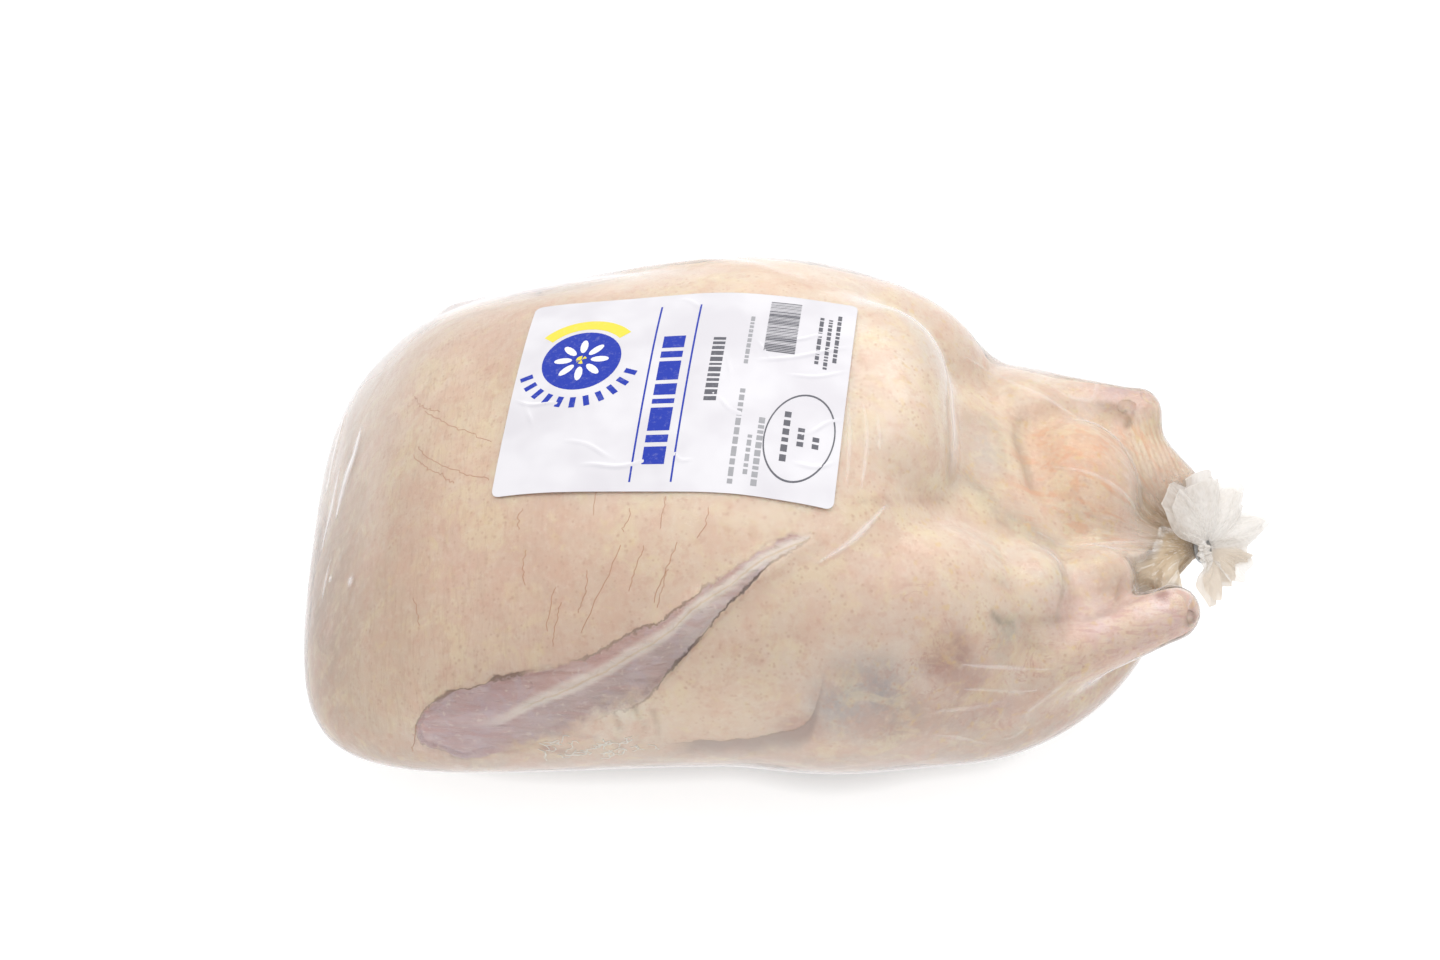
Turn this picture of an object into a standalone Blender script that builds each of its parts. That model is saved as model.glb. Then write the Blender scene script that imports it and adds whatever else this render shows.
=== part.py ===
"""A whole raw duck in a clear shrink bag, lying on its back.

The bag clings to the bird, so bag and bird are one solid with the bird's own form: a blunt
trunk, the breast muscles with a step at their rear end, thighs, shanks, wings folded on the
flanks, vent lobes and tail. Behind the shanks the film gathers into a neck, which a wire clip
closes, and opens again into a ruffle. A paper label lies on the breast.

Metres, +Z up. The neck end points to -X and the tail to +X, and the bag rests on Z = 0.
Near is the -Y side, far the +Y side.
"""

import bmesh
import bpy
import numpy as np
import openvdb
from mathutils import Vector
from mathutils.bvhtree import BVHTree

# Trunk: its two ends, how blunt they are, and sections between them
TRUNK_ENDS = (-0.1880, 0.1460)
TRUNK_BLUNTNESS = 4.0
TRUNK_SQUARENESS = 2.25
# x, half width, top, bottom, sideways place
TRUNK_SECTIONS = (
    (-0.186, 0.117, 0.068, 0.012, 0.000),
    (-0.150, 0.111, 0.107, 0.004, -0.001),
    (-0.110, 0.106, 0.128, 0.000, -0.001),
    (-0.060, 0.104, 0.141, -0.002, 0.000),
    (-0.010, 0.106, 0.148, -0.002, 0.002),
    (0.030, 0.102, 0.139, -0.001, 0.000),
    (0.060, 0.095, 0.113, 0.001, -0.005),
    (0.090, 0.087, 0.098, 0.004, -0.008),
    (0.120, 0.077, 0.082, 0.016, -0.007),
    (0.150, 0.062, 0.070, 0.036, -0.004),
)

# Each shape joins the last with a fillet of its own width

# Breast muscles behind the keel, ending in a step
BREAST_CENTRE = (0.008, 0.012, 0.085)
BREAST_HALF = (0.056, 0.051, 0.060)
BREAST_SQUARENESS = 3.4
BREAST_FILLET = 0.005

# Legs, near and far: thigh centres, knees and ankles
THIGH_CENTRES = ((0.018, -0.058, 0.069), (0.008, 0.058, 0.069))
THIGH_HALF = (0.078, 0.047, 0.060)
KNEES = ((0.080, -0.073, 0.069), (0.076, 0.056, 0.070))
KNEE_RADIUS = 0.0175
ANKLES = ((0.143, -0.054, 0.080), (0.139, 0.042, 0.080))
ANKLE_RADIUS = 0.0100
SHANK_FILLET = 0.010
LEG_FILLET = 0.006

# Lobes of fat and skin round the vent: centre and half size
LOBES = (
    ((0.112, 0.009, 0.066), (0.028, 0.033, 0.032)),
    ((0.088, -0.050, 0.077), (0.019, 0.022, 0.026)),
    ((0.112, -0.043, 0.070), (0.016, 0.020, 0.023)),
    ((0.093, 0.042, 0.074), (0.022, 0.020, 0.022)),
)
LOBE_FILLET = 0.007
TAIL = ((0.136, 0.031, 0.071), (0.150, 0.014, 0.066))
TAIL_RADIUS = 0.0135
TAIL_FILLET = 0.006

# Wings, folded along the flanks from the wrist to the elbow: centre and radius
WING_PATH = (
    ((-0.129, -0.0875, 0.072), 0.016),
    ((-0.106, -0.0865, 0.079), 0.017),
    ((-0.077, -0.0885, 0.091), 0.013),
    ((-0.053, -0.0845, 0.104), 0.011),
    ((-0.032, -0.0770, 0.118), 0.009),
    ((-0.012, -0.0680, 0.128), 0.006),
    ((0.0035, -0.0590, 0.1320), 0.004),
)
WING_FILLET = 0.004

# Film: where it gathers, the way its ruffle opens, and the wire clip round its neck
GATHER = (0.1590, -0.0090, 0.0580)
NECK_AXIS = (0.72, -0.35, 0.60)
NECK_RADIUS = 0.0034
FUNNEL = (-0.0370, 0.0030, -0.0040)
FUNNEL_RADIUS = 0.0300
# Webs of film that run to the gathered neck: start and radius there
WEBS = (
    (ANKLES[0], 0.0070), (ANKLES[1], 0.0070), ((0.1190, -0.0370, 0.0790), 0.0110),
)
WEB_END_SHARE = 0.28
WEB_END_RADIUS = 0.0035
WEB_FILLET = 0.010
FILM_FILLET = 0.006
CLIP_ALONG = 0.0042
CLIP_RADIUS = 0.0049
CLIP_WIRE_RADIUS = 0.0009
CLIP_TURNS = 28
CLIP_SIDES = 8
# Ruffle: distance along the neck and radius, out to the rim
RUFFLE_OUTER = (
    (-0.0060, 0.0026), (-0.0020, 0.0032), (0.0020, 0.0034), (0.0062, 0.0036), (0.0080, 0.0060),
    (0.0094, 0.0100), (0.0104, 0.0150), (0.0104, 0.0200), (0.0092, 0.0245),
)
# Ruffle: how far its rim reaches, by degrees round the neck
RUFFLE_REACH = (
    (0, 0.0280), (20, 0.0298), (50, 0.0300), (84, 0.0310), (97, 0.0300), (110, 0.0190),
    (124, 0.0090), (160, 0.0090), (180, 0.0110), (192, 0.0190), (202, 0.0250), (228, 0.0165),
    (255, 0.0135), (290, 0.0160), (312, 0.0180), (322, 0.0265), (336, 0.0290), (350, 0.0255),
)
# Ruffle: it leans back on this side of the neck, by this slope
RUFFLE_LEAN_TURN = 112
RUFFLE_LEAN = 0.35
RUFFLE_FILM = 0.0013
RUFFLE_FOLDS = 9
RUFFLE_FOLD_HEIGHT = 0.0030
RUFFLE_SEGMENTS = 90

# Label
LABEL_CENTRE = (-0.0413, 0.0040)
LABEL_TURN = -7.3
LABEL_SIZE = (0.1240, 0.0950)
LABEL_CORNER = 0.0030
LABEL_GAP = 0.0007
LABEL_PAPER = 0.0005
LABEL_COLUMNS = 22
LABEL_INNER_ROWS = 12

CELL = 0.0030
BODY_TRIANGLES = 9000
BODY_LOW = (-0.200, -0.125, -0.010)
BODY_HIGH = (0.180, 0.125, 0.160)

FLESH = (0.76, 0.59, 0.46, 1.0)
PAPER = (0.86, 0.84, 0.86, 1.0)
METAL = (0.40, 0.41, 0.43, 1.0)


def rod(points, start, end, start_radius, end_radius):
    """How far points lie outside a rod with round ends and two radii."""
    start, end = np.array(start), np.array(end)
    along = end - start
    share = np.clip(((points - start) @ along) / (along @ along), 0, 1)
    radius = start_radius + share * (end_radius - start_radius)
    return np.linalg.norm(points - start - share[:, None] * along, axis=1) - radius


def lump(points, centre, half, power=2.0):
    """How far points lie outside a rounded block, along the ray from its centre."""
    offset = points - np.array(centre)
    size = (np.abs(offset / np.array(half)) ** power).sum(1) ** (1 / power)
    return np.linalg.norm(offset, axis=1) * (1 - 1 / np.maximum(size, 1e-6))


def blend(first, second, width):
    """The lesser of two distances, with the inner corner filled over width."""
    near = np.maximum(width - np.abs(first - second), 0) / width
    return np.minimum(first, second) - near * near * width / 4


def smooth(x, column):
    """A smooth curve through one column of the trunk's sections."""
    places = np.array([section[0] for section in TRUNK_SECTIONS])
    values = np.array([section[column] for section in TRUNK_SECTIONS])
    slopes = np.gradient(values, places)
    at = np.clip(np.searchsorted(places, x) - 1, 0, len(places) - 2)
    span = places[at + 1] - places[at]
    t = np.clip((x - places[at]) / span, 0, 1)
    start = (2 * t**3 - 3 * t**2 + 1) * values[at] + (t**3 - 2 * t**2 + t) * span * slopes[at]
    end = (3 * t**2 - 2 * t**3) * values[at + 1] + (t**3 - t**2) * span * slopes[at + 1]
    return start + end


def trunk(points):
    x = points[:, 0]
    middle = sum(TRUNK_ENDS) / 2
    reach = np.abs(x - middle) / (TRUNK_ENDS[1] - middle)
    top, bottom = smooth(x, 2), smooth(x, 3)
    rise = points[:, 2] - (top + bottom) / 2
    aside = points[:, 1] - smooth(x, 4)
    across = np.abs(aside / smooth(x, 1)) ** TRUNK_SQUARENESS
    upright = np.abs(rise / ((top - bottom) / 2)) ** TRUNK_SQUARENESS
    ring = (across + upright) ** (TRUNK_BLUNTNESS / TRUNK_SQUARENESS)
    size = np.maximum(reach**TRUNK_BLUNTNESS + ring, 1e-9) ** (1 / TRUNK_BLUNTNESS)
    along = np.maximum(reach - 0.75, 0) * (TRUNK_ENDS[1] - middle)
    return np.sqrt(along**2 + aside**2 + rise**2) * (1 - 1 / size)


def wing(points, side):
    found = np.full(len(points), 1.0)
    turned = points * np.array((1, -side, 1))
    for (start, start_radius), (end, end_radius) in zip(WING_PATH, WING_PATH[1:]):
        found = np.minimum(found, rod(turned, start, end, start_radius, end_radius))
    return found


def bird(points):
    breast = lump(points, BREAST_CENTRE, BREAST_HALF, BREAST_SQUARENESS)
    body = blend(trunk(points), breast, BREAST_FILLET)
    for centre, knee, ankle in zip(THIGH_CENTRES, KNEES, ANKLES):
        thigh = lump(points, centre, THIGH_HALF)
        shank = rod(points, knee, ankle, KNEE_RADIUS, ANKLE_RADIUS)
        body = blend(body, blend(thigh, shank, SHANK_FILLET), LEG_FILLET)
    for centre, half in LOBES:
        body = blend(body, lump(points, centre, half), LOBE_FILLET)
    body = blend(body, rod(points, *TAIL, TAIL_RADIUS, TAIL_RADIUS), TAIL_FILLET)
    for side in (-1, 1):
        body = blend(body, wing(points, side), WING_FILLET)
    return body


def bagged(points):
    """The bird with the film that spans from ankles, fat and rump to its gathered neck."""
    gather = np.array(GATHER)
    film = rod(points, gather + np.array(FUNNEL), gather, FUNNEL_RADIUS, NECK_RADIUS)
    web_end = gather + WEB_END_SHARE * np.array(FUNNEL)
    for start, radius in WEBS:
        film = blend(film, rod(points, start, web_end, radius, WEB_END_RADIUS), WEB_FILLET)
    return np.maximum(blend(bird(points), film, FILM_FILLET), -points[:, 2])


def surface_net(distance, low, high, cell):
    """Vertices and four-sided faces of the surface where distance is zero, facing outwards."""
    axes = [np.arange(a, b + cell, cell) for a, b in zip(low, high)]
    points = np.stack(np.meshgrid(*axes, indexing="ij"), axis=-1)
    values = np.clip(distance(points.reshape(-1, 3)), -4 * cell, 4 * cell)
    grid = openvdb.FloatGrid(4 * cell)
    grid.copyFromArray(values.reshape(points.shape[:3]).astype(np.float32))
    vertices, faces = grid.convertToQuads(isovalue=0.0)
    return np.array(low) + cell * vertices, faces


def settle(vertices, distance, rounds=3, step=1e-4):
    """Moves the vertices onto the surface along its slope."""
    for _ in range(rounds):
        value = distance(vertices)
        slope = [distance(vertices + step * axis) - value for axis in np.eye(3)]
        slope = np.stack(slope, axis=1) / step
        slope_size = np.maximum((slope**2).sum(1), 0.05)
        vertices = vertices - slope * (value / slope_size)[:, None]
    return vertices


def new_object(name, vertices, faces, color=None, metallic=0.0, roughness=0.5):
    mesh = bpy.data.meshes.new(name)
    mesh.from_pydata([tuple(v) for v in vertices], [], [tuple(f) for f in faces])
    mesh.validate()
    mesh.shade_smooth()
    obj = bpy.data.objects.new(name, mesh)
    bpy.context.scene.collection.objects.link(obj)
    if color:
        material = bpy.data.materials.new(name)
        material.use_nodes = True
        shader = material.node_tree.nodes["Principled BSDF"]
        shader.inputs["Base Color"].default_value = color
        shader.inputs["Metallic"].default_value = metallic
        shader.inputs["Roughness"].default_value = roughness
        mesh.materials.append(material)
    return obj


def neck_frame():
    """The neck's own axes: across, aside and along."""
    along = Vector(NECK_AXIS).normalized()
    across = Vector((0, 0, 1)).cross(along).normalized()
    return across, along.cross(across), along


def ruffle_points(profile, lift):
    """Rings of points round the neck, folded more and more towards the rim."""
    across, aside, along = neck_frame()
    rim = RUFFLE_OUTER[-1][1]
    throat = RUFFLE_OUTER[3][1]
    directions, reaches = zip(*RUFFLE_REACH)
    points = []
    for distance, radius in profile:
        share = min(radius / rim, 1.0)
        open_share = max(radius - throat, 0) / (rim - throat)
        for step in range(RUFFLE_SEGMENTS):
            turn = 2 * np.pi * step / RUFFLE_SEGMENTS
            reach = np.interp(np.degrees(turn), directions, reaches, period=360)
            fold = np.sin(RUFFLE_FOLDS * turn + 1.2 * np.sin(2 * turn)) * share**2
            out = min(radius, throat) + open_share * (reach - throat) * (1 + 0.05 * fold)
            lean = RUFFLE_LEAN * (out - min(radius, throat))
            lean *= np.cos(turn - np.radians(RUFFLE_LEAN_TURN))
            place = distance + lift - lean + RUFFLE_FOLD_HEIGHT * fold * reach / rim
            points.append(
                Vector(GATHER)
                + along * place
                + across * (out * np.cos(turn))
                + aside * (out * np.sin(turn))
            )
    return points


def ruffle():
    """The neck and ruffle as one closed skin: out along the under side and back along the upper."""
    along = neck_frame()[2]
    inner = [ring for ring in reversed(RUFFLE_OUTER) if ring[1] > 2 * RUFFLE_FILM + NECK_RADIUS]
    points = ruffle_points(RUFFLE_OUTER, 0.0) + ruffle_points(inner, RUFFLE_FILM)
    rings = len(RUFFLE_OUTER) + len(inner)
    faces = []
    for ring in range(rings - 1):
        for step in range(RUFFLE_SEGMENTS):
            after = (step + 1) % RUFFLE_SEGMENTS
            low, high = ring * RUFFLE_SEGMENTS, (ring + 1) * RUFFLE_SEGMENTS
            faces.append((low + step, low + after, high + after, high + step))
    start, end = len(points), len(points) + 1
    points.append(Vector(GATHER) + along * (RUFFLE_OUTER[0][0] - 0.001))
    points.append(Vector(GATHER) + along * (inner[-1][0] + RUFFLE_FILM))
    last = (rings - 1) * RUFFLE_SEGMENTS
    for step in range(RUFFLE_SEGMENTS):
        after = (step + 1) % RUFFLE_SEGMENTS
        faces.append((start, after, step))
        faces.append((end, last + step, last + after))
    return points, faces


def wire_ring():
    """The clip: a ring of round wire about the neck."""
    across, aside, along = neck_frame()
    points, faces = [], []
    for turn in range(CLIP_TURNS):
        angle = 2 * np.pi * turn / CLIP_TURNS
        out = across * np.cos(angle) + aside * np.sin(angle)
        for side in range(CLIP_SIDES):
            around = 2 * np.pi * side / CLIP_SIDES
            reach = CLIP_RADIUS + CLIP_WIRE_RADIUS * np.cos(around)
            rise = CLIP_ALONG + CLIP_WIRE_RADIUS * np.sin(around)
            points.append(Vector(GATHER) + out * reach + along * rise)
            a, b = turn * CLIP_SIDES, (turn + 1) % CLIP_TURNS * CLIP_SIDES
            after = (side + 1) % CLIP_SIDES
            faces.append((a + side, b + side, b + after, a + after))
    return points, faces


def label_grid():
    """Rows of plan points over the label, its corners rounded."""
    half_x, half_y = LABEL_SIZE[0] / 2, LABEL_SIZE[1] / 2
    edge = (0.0, 0.29 * LABEL_CORNER, LABEL_CORNER)
    inner = np.linspace(-half_y + 2 * LABEL_CORNER, half_y - 2 * LABEL_CORNER, LABEL_INNER_ROWS)
    rows = [-half_y + e for e in edge] + list(inner) + [half_y - e for e in reversed(edge)]
    turn = np.radians(LABEL_TURN)
    grid = []
    for y in rows:
        inset = max(LABEL_CORNER - (half_y - abs(y)), 0.0)
        reach = half_x - LABEL_CORNER + np.sqrt(LABEL_CORNER**2 - inset**2)
        for x in np.linspace(-reach, reach, LABEL_COLUMNS):
            grid.append((
                LABEL_CENTRE[0] + x * np.cos(turn) - y * np.sin(turn),
                LABEL_CENTRE[1] + x * np.sin(turn) + y * np.cos(turn),
            ))
    return grid, len(rows), LABEL_COLUMNS


def label(body):
    """The label, laid on the body from above."""
    tree = BVHTree.FromPolygons(
        [v.co for v in body.data.vertices], [p.vertices for p in body.data.polygons]
    )
    grid, rows, columns = label_grid()
    low, high = [], []
    for x, y in grid:
        hit, normal = tree.ray_cast(Vector((x, y, 0.3)), Vector((0, 0, -1)))[:2]
        low.append(hit + Vector((0, 0, LABEL_GAP)))
        high.append(hit + Vector((0, 0, LABEL_GAP + LABEL_PAPER / normal.z)))
    points = low + high
    top = len(low)
    faces = []
    for row in range(rows - 1):
        for column in range(columns - 1):
            a = row * columns + column
            b, c, d = a + 1, a + columns + 1, a + columns
            faces += [(d, c, b, a), (top + a, top + b, top + c, top + d)]
    border = list(range(columns))
    border += [row * columns + columns - 1 for row in range(1, rows)]
    border += [(rows - 1) * columns + column for column in range(columns - 2, -1, -1)]
    border += [row * columns for row in range(rows - 2, 0, -1)]
    for a, b in zip(border, border[1:] + border[:1]):
        faces.append((a, b, top + b, top + a))
    return points, faces


def applied(obj):
    """The object's mesh with its modifiers in it."""
    evaluated = obj.evaluated_get(bpy.context.evaluated_depsgraph_get())
    mesh = bpy.data.meshes.new_from_object(evaluated)
    obj.modifiers.clear()
    obj.data = mesh
    mesh.shade_smooth()


def fill_pockets(mesh):
    """Leaves only the outer skin, so that a pocket shut in by the union is solid."""
    work = bmesh.new()
    work.from_mesh(mesh)
    work.verts.ensure_lookup_table()
    outer = {max(work.verts, key=lambda v: v.co.x)}
    edge = list(outer)
    while edge:
        found = {e.other_vert(v) for v in edge for e in v.link_edges} - outer
        outer |= found
        edge = list(found)
    bmesh.ops.delete(work, geom=[v for v in work.verts if v not in outer], context="VERTS")
    work.to_mesh(mesh)
    work.free()


def main():
    for obj in list(bpy.data.objects):
        bpy.data.objects.remove(obj)

    vertices, faces = surface_net(bagged, BODY_LOW, BODY_HIGH, CELL)
    vertices = settle(vertices, bagged)
    vertices[:, 2] = np.maximum(vertices[:, 2], 0)
    body = new_object("bagged_duck", vertices, faces, FLESH)
    fewer = body.modifiers.new("fewer", "DECIMATE")
    fewer.ratio = BODY_TRIANGLES / (2 * len(faces))
    applied(body)

    frill = new_object("ruffle", *ruffle())
    frill.hide_render = True
    frill.display_type = "WIRE"
    join = body.modifiers.new("ruffle", "BOOLEAN")
    join.operation = "UNION"
    join.solver = "EXACT"
    join.object = frill
    applied(body)
    bpy.data.objects.remove(frill)
    fill_pockets(body.data)

    pieces = [body]
    pieces.append(new_object("label", *label(body), PAPER))
    pieces.append(new_object("clip", *wire_ring(), METAL, metallic=1.0, roughness=0.4))

    corners = np.array([v.co for piece in pieces for v in piece.data.vertices])
    middle = (corners.min(0) + corners.max(0)) / 2
    shift = Vector((-middle[0], -middle[1], -corners[:, 2].min()))
    for piece in pieces:
        for vertex in piece.data.vertices:
            vertex.co += shift
    print("shift", [round(c * 1000, 3) for c in shift])
    print("size", [round(c * 1000, 1) for c in corners.max(0) - corners.min(0)])


if __name__ == "__main__":
    main()
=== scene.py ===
# %% [markdown]
# # A whole duck in a clear shrink bag
#
# A raw duck lies on its back in a bag of clear film. The film clings to the skin, bridges the
# hollows, and is gathered behind the shanks through a wire clip, past which it opens into a
# crisp ruffle. A paper label lies on the breast.
#
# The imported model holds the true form, with bird and bag as one solid. Here that solid is
# replaced by the two things that a camera sees: skin, and film over it. Both are surfaces where
# a distance field is zero, so they can't cross, and both can be as fine as the looks need.

import math

import bmesh
import bpy
import numpy as np
import openvdb
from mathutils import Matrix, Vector
from mathutils.bvhtree import BVHTree


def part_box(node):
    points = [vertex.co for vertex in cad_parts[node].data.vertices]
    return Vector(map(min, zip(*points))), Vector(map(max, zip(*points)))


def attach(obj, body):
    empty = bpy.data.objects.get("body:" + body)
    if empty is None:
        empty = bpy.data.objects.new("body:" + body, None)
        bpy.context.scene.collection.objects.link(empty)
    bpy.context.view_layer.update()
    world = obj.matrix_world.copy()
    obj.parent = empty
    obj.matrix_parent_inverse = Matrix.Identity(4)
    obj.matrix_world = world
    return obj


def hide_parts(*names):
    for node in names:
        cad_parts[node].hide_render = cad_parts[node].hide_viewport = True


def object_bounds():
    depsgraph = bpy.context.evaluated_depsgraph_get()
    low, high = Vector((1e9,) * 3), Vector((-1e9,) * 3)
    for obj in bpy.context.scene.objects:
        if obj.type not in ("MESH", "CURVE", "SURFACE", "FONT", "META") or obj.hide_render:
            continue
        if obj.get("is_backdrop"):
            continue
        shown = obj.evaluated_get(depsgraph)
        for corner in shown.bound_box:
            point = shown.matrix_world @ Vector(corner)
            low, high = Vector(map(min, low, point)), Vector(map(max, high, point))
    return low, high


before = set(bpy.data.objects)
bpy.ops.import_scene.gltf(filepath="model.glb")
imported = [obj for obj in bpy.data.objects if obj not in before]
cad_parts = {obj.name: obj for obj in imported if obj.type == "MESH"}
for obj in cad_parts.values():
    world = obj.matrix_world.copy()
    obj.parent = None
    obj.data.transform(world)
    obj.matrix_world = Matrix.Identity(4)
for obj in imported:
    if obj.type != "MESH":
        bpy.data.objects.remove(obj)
cad_low, cad_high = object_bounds()
print("packed nodes:", sorted(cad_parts))
print("size in mm:", [round(1000 * side) for side in cad_high - cad_low])

# %% [markdown]
# ## One set of sizes
#
# Everything below is placed in the bird's own coordinates: X from neck to tail, Y to the far
# side, Z up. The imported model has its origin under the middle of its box, so all places get one
# shift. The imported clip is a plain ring, so its middle is known in both, and gives the shift.

# %% Sizes that the solid was made from
TRUNK_ENDS = (-0.188, 0.146)
TRUNK_BLUNTNESS = 4.0
TRUNK_SQUARENESS = 2.25
# x, half width, top, bottom, sideways place
TRUNK_SECTIONS = (
    (-0.186, 0.117, 0.068, 0.012, 0.0),
    (-0.15, 0.111, 0.107, 0.004, -0.001),
    (-0.11, 0.106, 0.128, 0.0, -0.001),
    (-0.06, 0.104, 0.141, -0.002, 0.0),
    (-0.01, 0.106, 0.148, -0.002, 0.002),
    (0.03, 0.102, 0.139, -0.001, 0.0),
    (0.06, 0.095, 0.113, 0.001, -0.005),
    (0.09, 0.087, 0.098, 0.004, -0.008),
    (0.12, 0.077, 0.082, 0.016, -0.007),
    (0.15, 0.062, 0.07, 0.036, -0.004),
)
BREAST_CENTRE = (0.008, 0.012, 0.085)
BREAST_HALF = (0.056, 0.051, 0.06)
BREAST_SQUARENESS = 3.4
BREAST_FILLET = 0.005
THIGH_CENTRES = ((0.018, -0.058, 0.069), (0.008, 0.058, 0.069))
THIGH_HALF = (0.078, 0.047, 0.06)
KNEES = ((0.08, -0.073, 0.069), (0.076, 0.056, 0.07))
KNEE_RADIUS = 0.0175
ANKLES = ((0.143, -0.054, 0.08), (0.139, 0.042, 0.08))
ANKLE_RADIUS = 0.01
SHANK_FILLET = 0.01
LEG_FILLET = 0.006
LOBES = (
    ((0.112, 0.009, 0.066), (0.028, 0.033, 0.032)),
    ((0.088, -0.05, 0.077), (0.019, 0.022, 0.026)),
    ((0.112, -0.043, 0.07), (0.016, 0.02, 0.023)),
    ((0.093, 0.042, 0.074), (0.022, 0.02, 0.022)),
)
LOBE_FILLET = 0.007
TAIL = ((0.136, 0.031, 0.071), (0.15, 0.014, 0.066))
TAIL_RADIUS = 0.0135
TAIL_FILLET = 0.006
WING_PATH = (
    ((-0.129, -0.0875, 0.072), 0.016),
    ((-0.106, -0.0865, 0.079), 0.017),
    ((-0.077, -0.0885, 0.091), 0.013),
    ((-0.053, -0.0845, 0.104), 0.011),
    ((-0.032, -0.077, 0.118), 0.009),
    ((-0.012, -0.068, 0.128), 0.006),
    ((0.0035, -0.059, 0.132), 0.004),
)
WING_FILLET = 0.004
GATHER = (0.159, -0.009, 0.058)
NECK_AXIS = (0.72, -0.35, 0.6)
NECK_RADIUS = 0.0034
FUNNEL = (-0.037, 0.003, -0.004)
FUNNEL_RADIUS = 0.03
# Webs of film that run to the gathered neck: start and radius there
WEBS = (
    (ANKLES[0], 0.007), (ANKLES[1], 0.007), ((0.119, -0.037, 0.079), 0.011),
)
WEB_END_SHARE = 0.28
WEB_END_RADIUS = 0.0035
WEB_FILLET = 0.01
FILM_FILLET = 0.006
CLIP_ALONG = 0.0042
CLIP_RADIUS = 0.0049
CLIP_WIRE_RADIUS = 0.0009
LABEL_CENTRE = (-0.0413, 0.004)
LABEL_TURN = math.radians(-7.3)
LABEL_SIZE = (0.124, 0.095)
LABEL_CORNER = 0.003

# %% The neck's own axes, and the shift
gather = np.array(GATHER)
along = Vector(NECK_AXIS).normalized()
across = Vector((0, 0, 1)).cross(along).normalized()
aside = np.array(along.cross(across))
along, across = np.array(along), np.array(across)
clip_low, clip_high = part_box("clip")
SHIFT = np.array(clip_low + clip_high) / 2 - (gather + CLIP_ALONG * along)
print("shift in mm:", np.round(1000 * SHIFT, 2))

# %% [markdown]
# ## Camera and light
#
# The photograph was taken from about 52 degrees above the table with a longish lens. The light
# is a bright, even studio: the table burns out to white, and the bird throws only a soft
# contact shadow. A white world gives the fill, one wide lamp overhead gives the gentle
# difference between breast and flanks, and a narrow lamp behind draws the glints on the film.

# %% Camera
ELEVATION = math.radians(52)
DISTANCE = 0.94
LOOKED_AT = Vector((0.0, 0.0, 0.062))
LOOKED_AT_PIXEL = (786, 525)
IMAGE_PIXELS = (1440, 960)

camera_data = bpy.data.cameras.new("camera")
camera_data.lens = 60
camera_data.sensor_width = 36
camera = bpy.data.objects.new("camera", camera_data)
bpy.context.scene.collection.objects.link(camera)
bpy.context.scene.camera = camera
back = Vector((0, -math.cos(ELEVATION), math.sin(ELEVATION)))
up = Vector((0, math.sin(ELEVATION), math.cos(ELEVATION)))
pixel = DISTANCE * camera_data.sensor_width / camera_data.lens / IMAGE_PIXELS[0]
camera.location = LOOKED_AT + back * DISTANCE + Vector((SHIFT[0], SHIFT[1], 0))
camera.location.x -= (LOOKED_AT_PIXEL[0] - IMAGE_PIXELS[0] / 2) * pixel
camera.location += up * (LOOKED_AT_PIXEL[1] - IMAGE_PIXELS[1] / 2) * pixel
camera.rotation_mode = "QUATERNION"
camera.rotation_quaternion = (-back).to_track_quat("-Z", "Y")
print("camera at", [round(c, 3) for c in camera.location])

# %% World, lamps and table
scene = bpy.context.scene
scene.view_settings.view_transform = "Standard"
scene.world = bpy.data.worlds.new("studio")
scene.world.use_nodes = True
sky = scene.world.node_tree.nodes["Background"]
sky.inputs["Color"].default_value = (1.0, 1.0, 1.0, 1)
sky.inputs["Strength"].default_value = 0.95


def lamp(name, place, target, size, watts, color=(1, 1, 1)):
    data = bpy.data.lights.new(name, "AREA")
    data.shape = "RECTANGLE"
    data.size, data.size_y = size
    data.energy = watts
    data.color = color
    obj = bpy.data.objects.new(name, data)
    scene.collection.objects.link(obj)
    obj.location = place
    obj.rotation_mode = "QUATERNION"
    obj.rotation_quaternion = (Vector(target) - obj.location).to_track_quat("-Z", "Y")
    return obj


lamp("overhead", (0.1, 0.2, 1.25), (0.0, 0.0, 0.05), (1.3, 1.0), 5.0)
lamp("window", (0.34, 0.66, 0.8), (0.04, 0.0, 0.13), (0.7, 0.22), 0.85)

TABLE_SIZE = 6.0
TABLE_GLOW = 0.68
SHADOW_REACH = 0.017
bpy.ops.mesh.primitive_plane_add(size=TABLE_SIZE)
table = bpy.context.object
table.name = "table"
white = bpy.data.materials.new("white table")
white.use_nodes = True
surface = white.node_tree.nodes["Principled BSDF"]
surface.inputs["Base Color"].default_value = (0.5, 0.515, 0.53, 1)
surface.inputs["Roughness"].default_value = 0.9
surface.inputs["Emission Color"].default_value = (1, 1, 1, 1)
# The table's own light fades close to the bird, which keeps its shadow short and deep
near = white.node_tree.nodes.new("ShaderNodeAmbientOcclusion")
near.inputs["Distance"].default_value = SHADOW_REACH
lit = white.node_tree.nodes.new("ShaderNodeMath")
lit.operation = "MULTIPLY"
lit.inputs[1].default_value = TABLE_GLOW
white.node_tree.links.new(near.outputs["AO"], lit.inputs[0])
white.node_tree.links.new(lit.outputs[0], surface.inputs["Emission Strength"])
table.data.materials.append(white)
table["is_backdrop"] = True

# %% [markdown]
# ## The shapes as distance fields
#
# A field says how far a point lies outside a shape. The lesser of two fields is both shapes
# joined, and a fillet fills the corner between them. Muscle, fat and limbs are all round lumps
# and rods, so a dozen of them joined this way already read as a bird. The bag uses wide
# fillets, because film bridges a crease. The skin under it uses narrow ones, because it doesn't.

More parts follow.
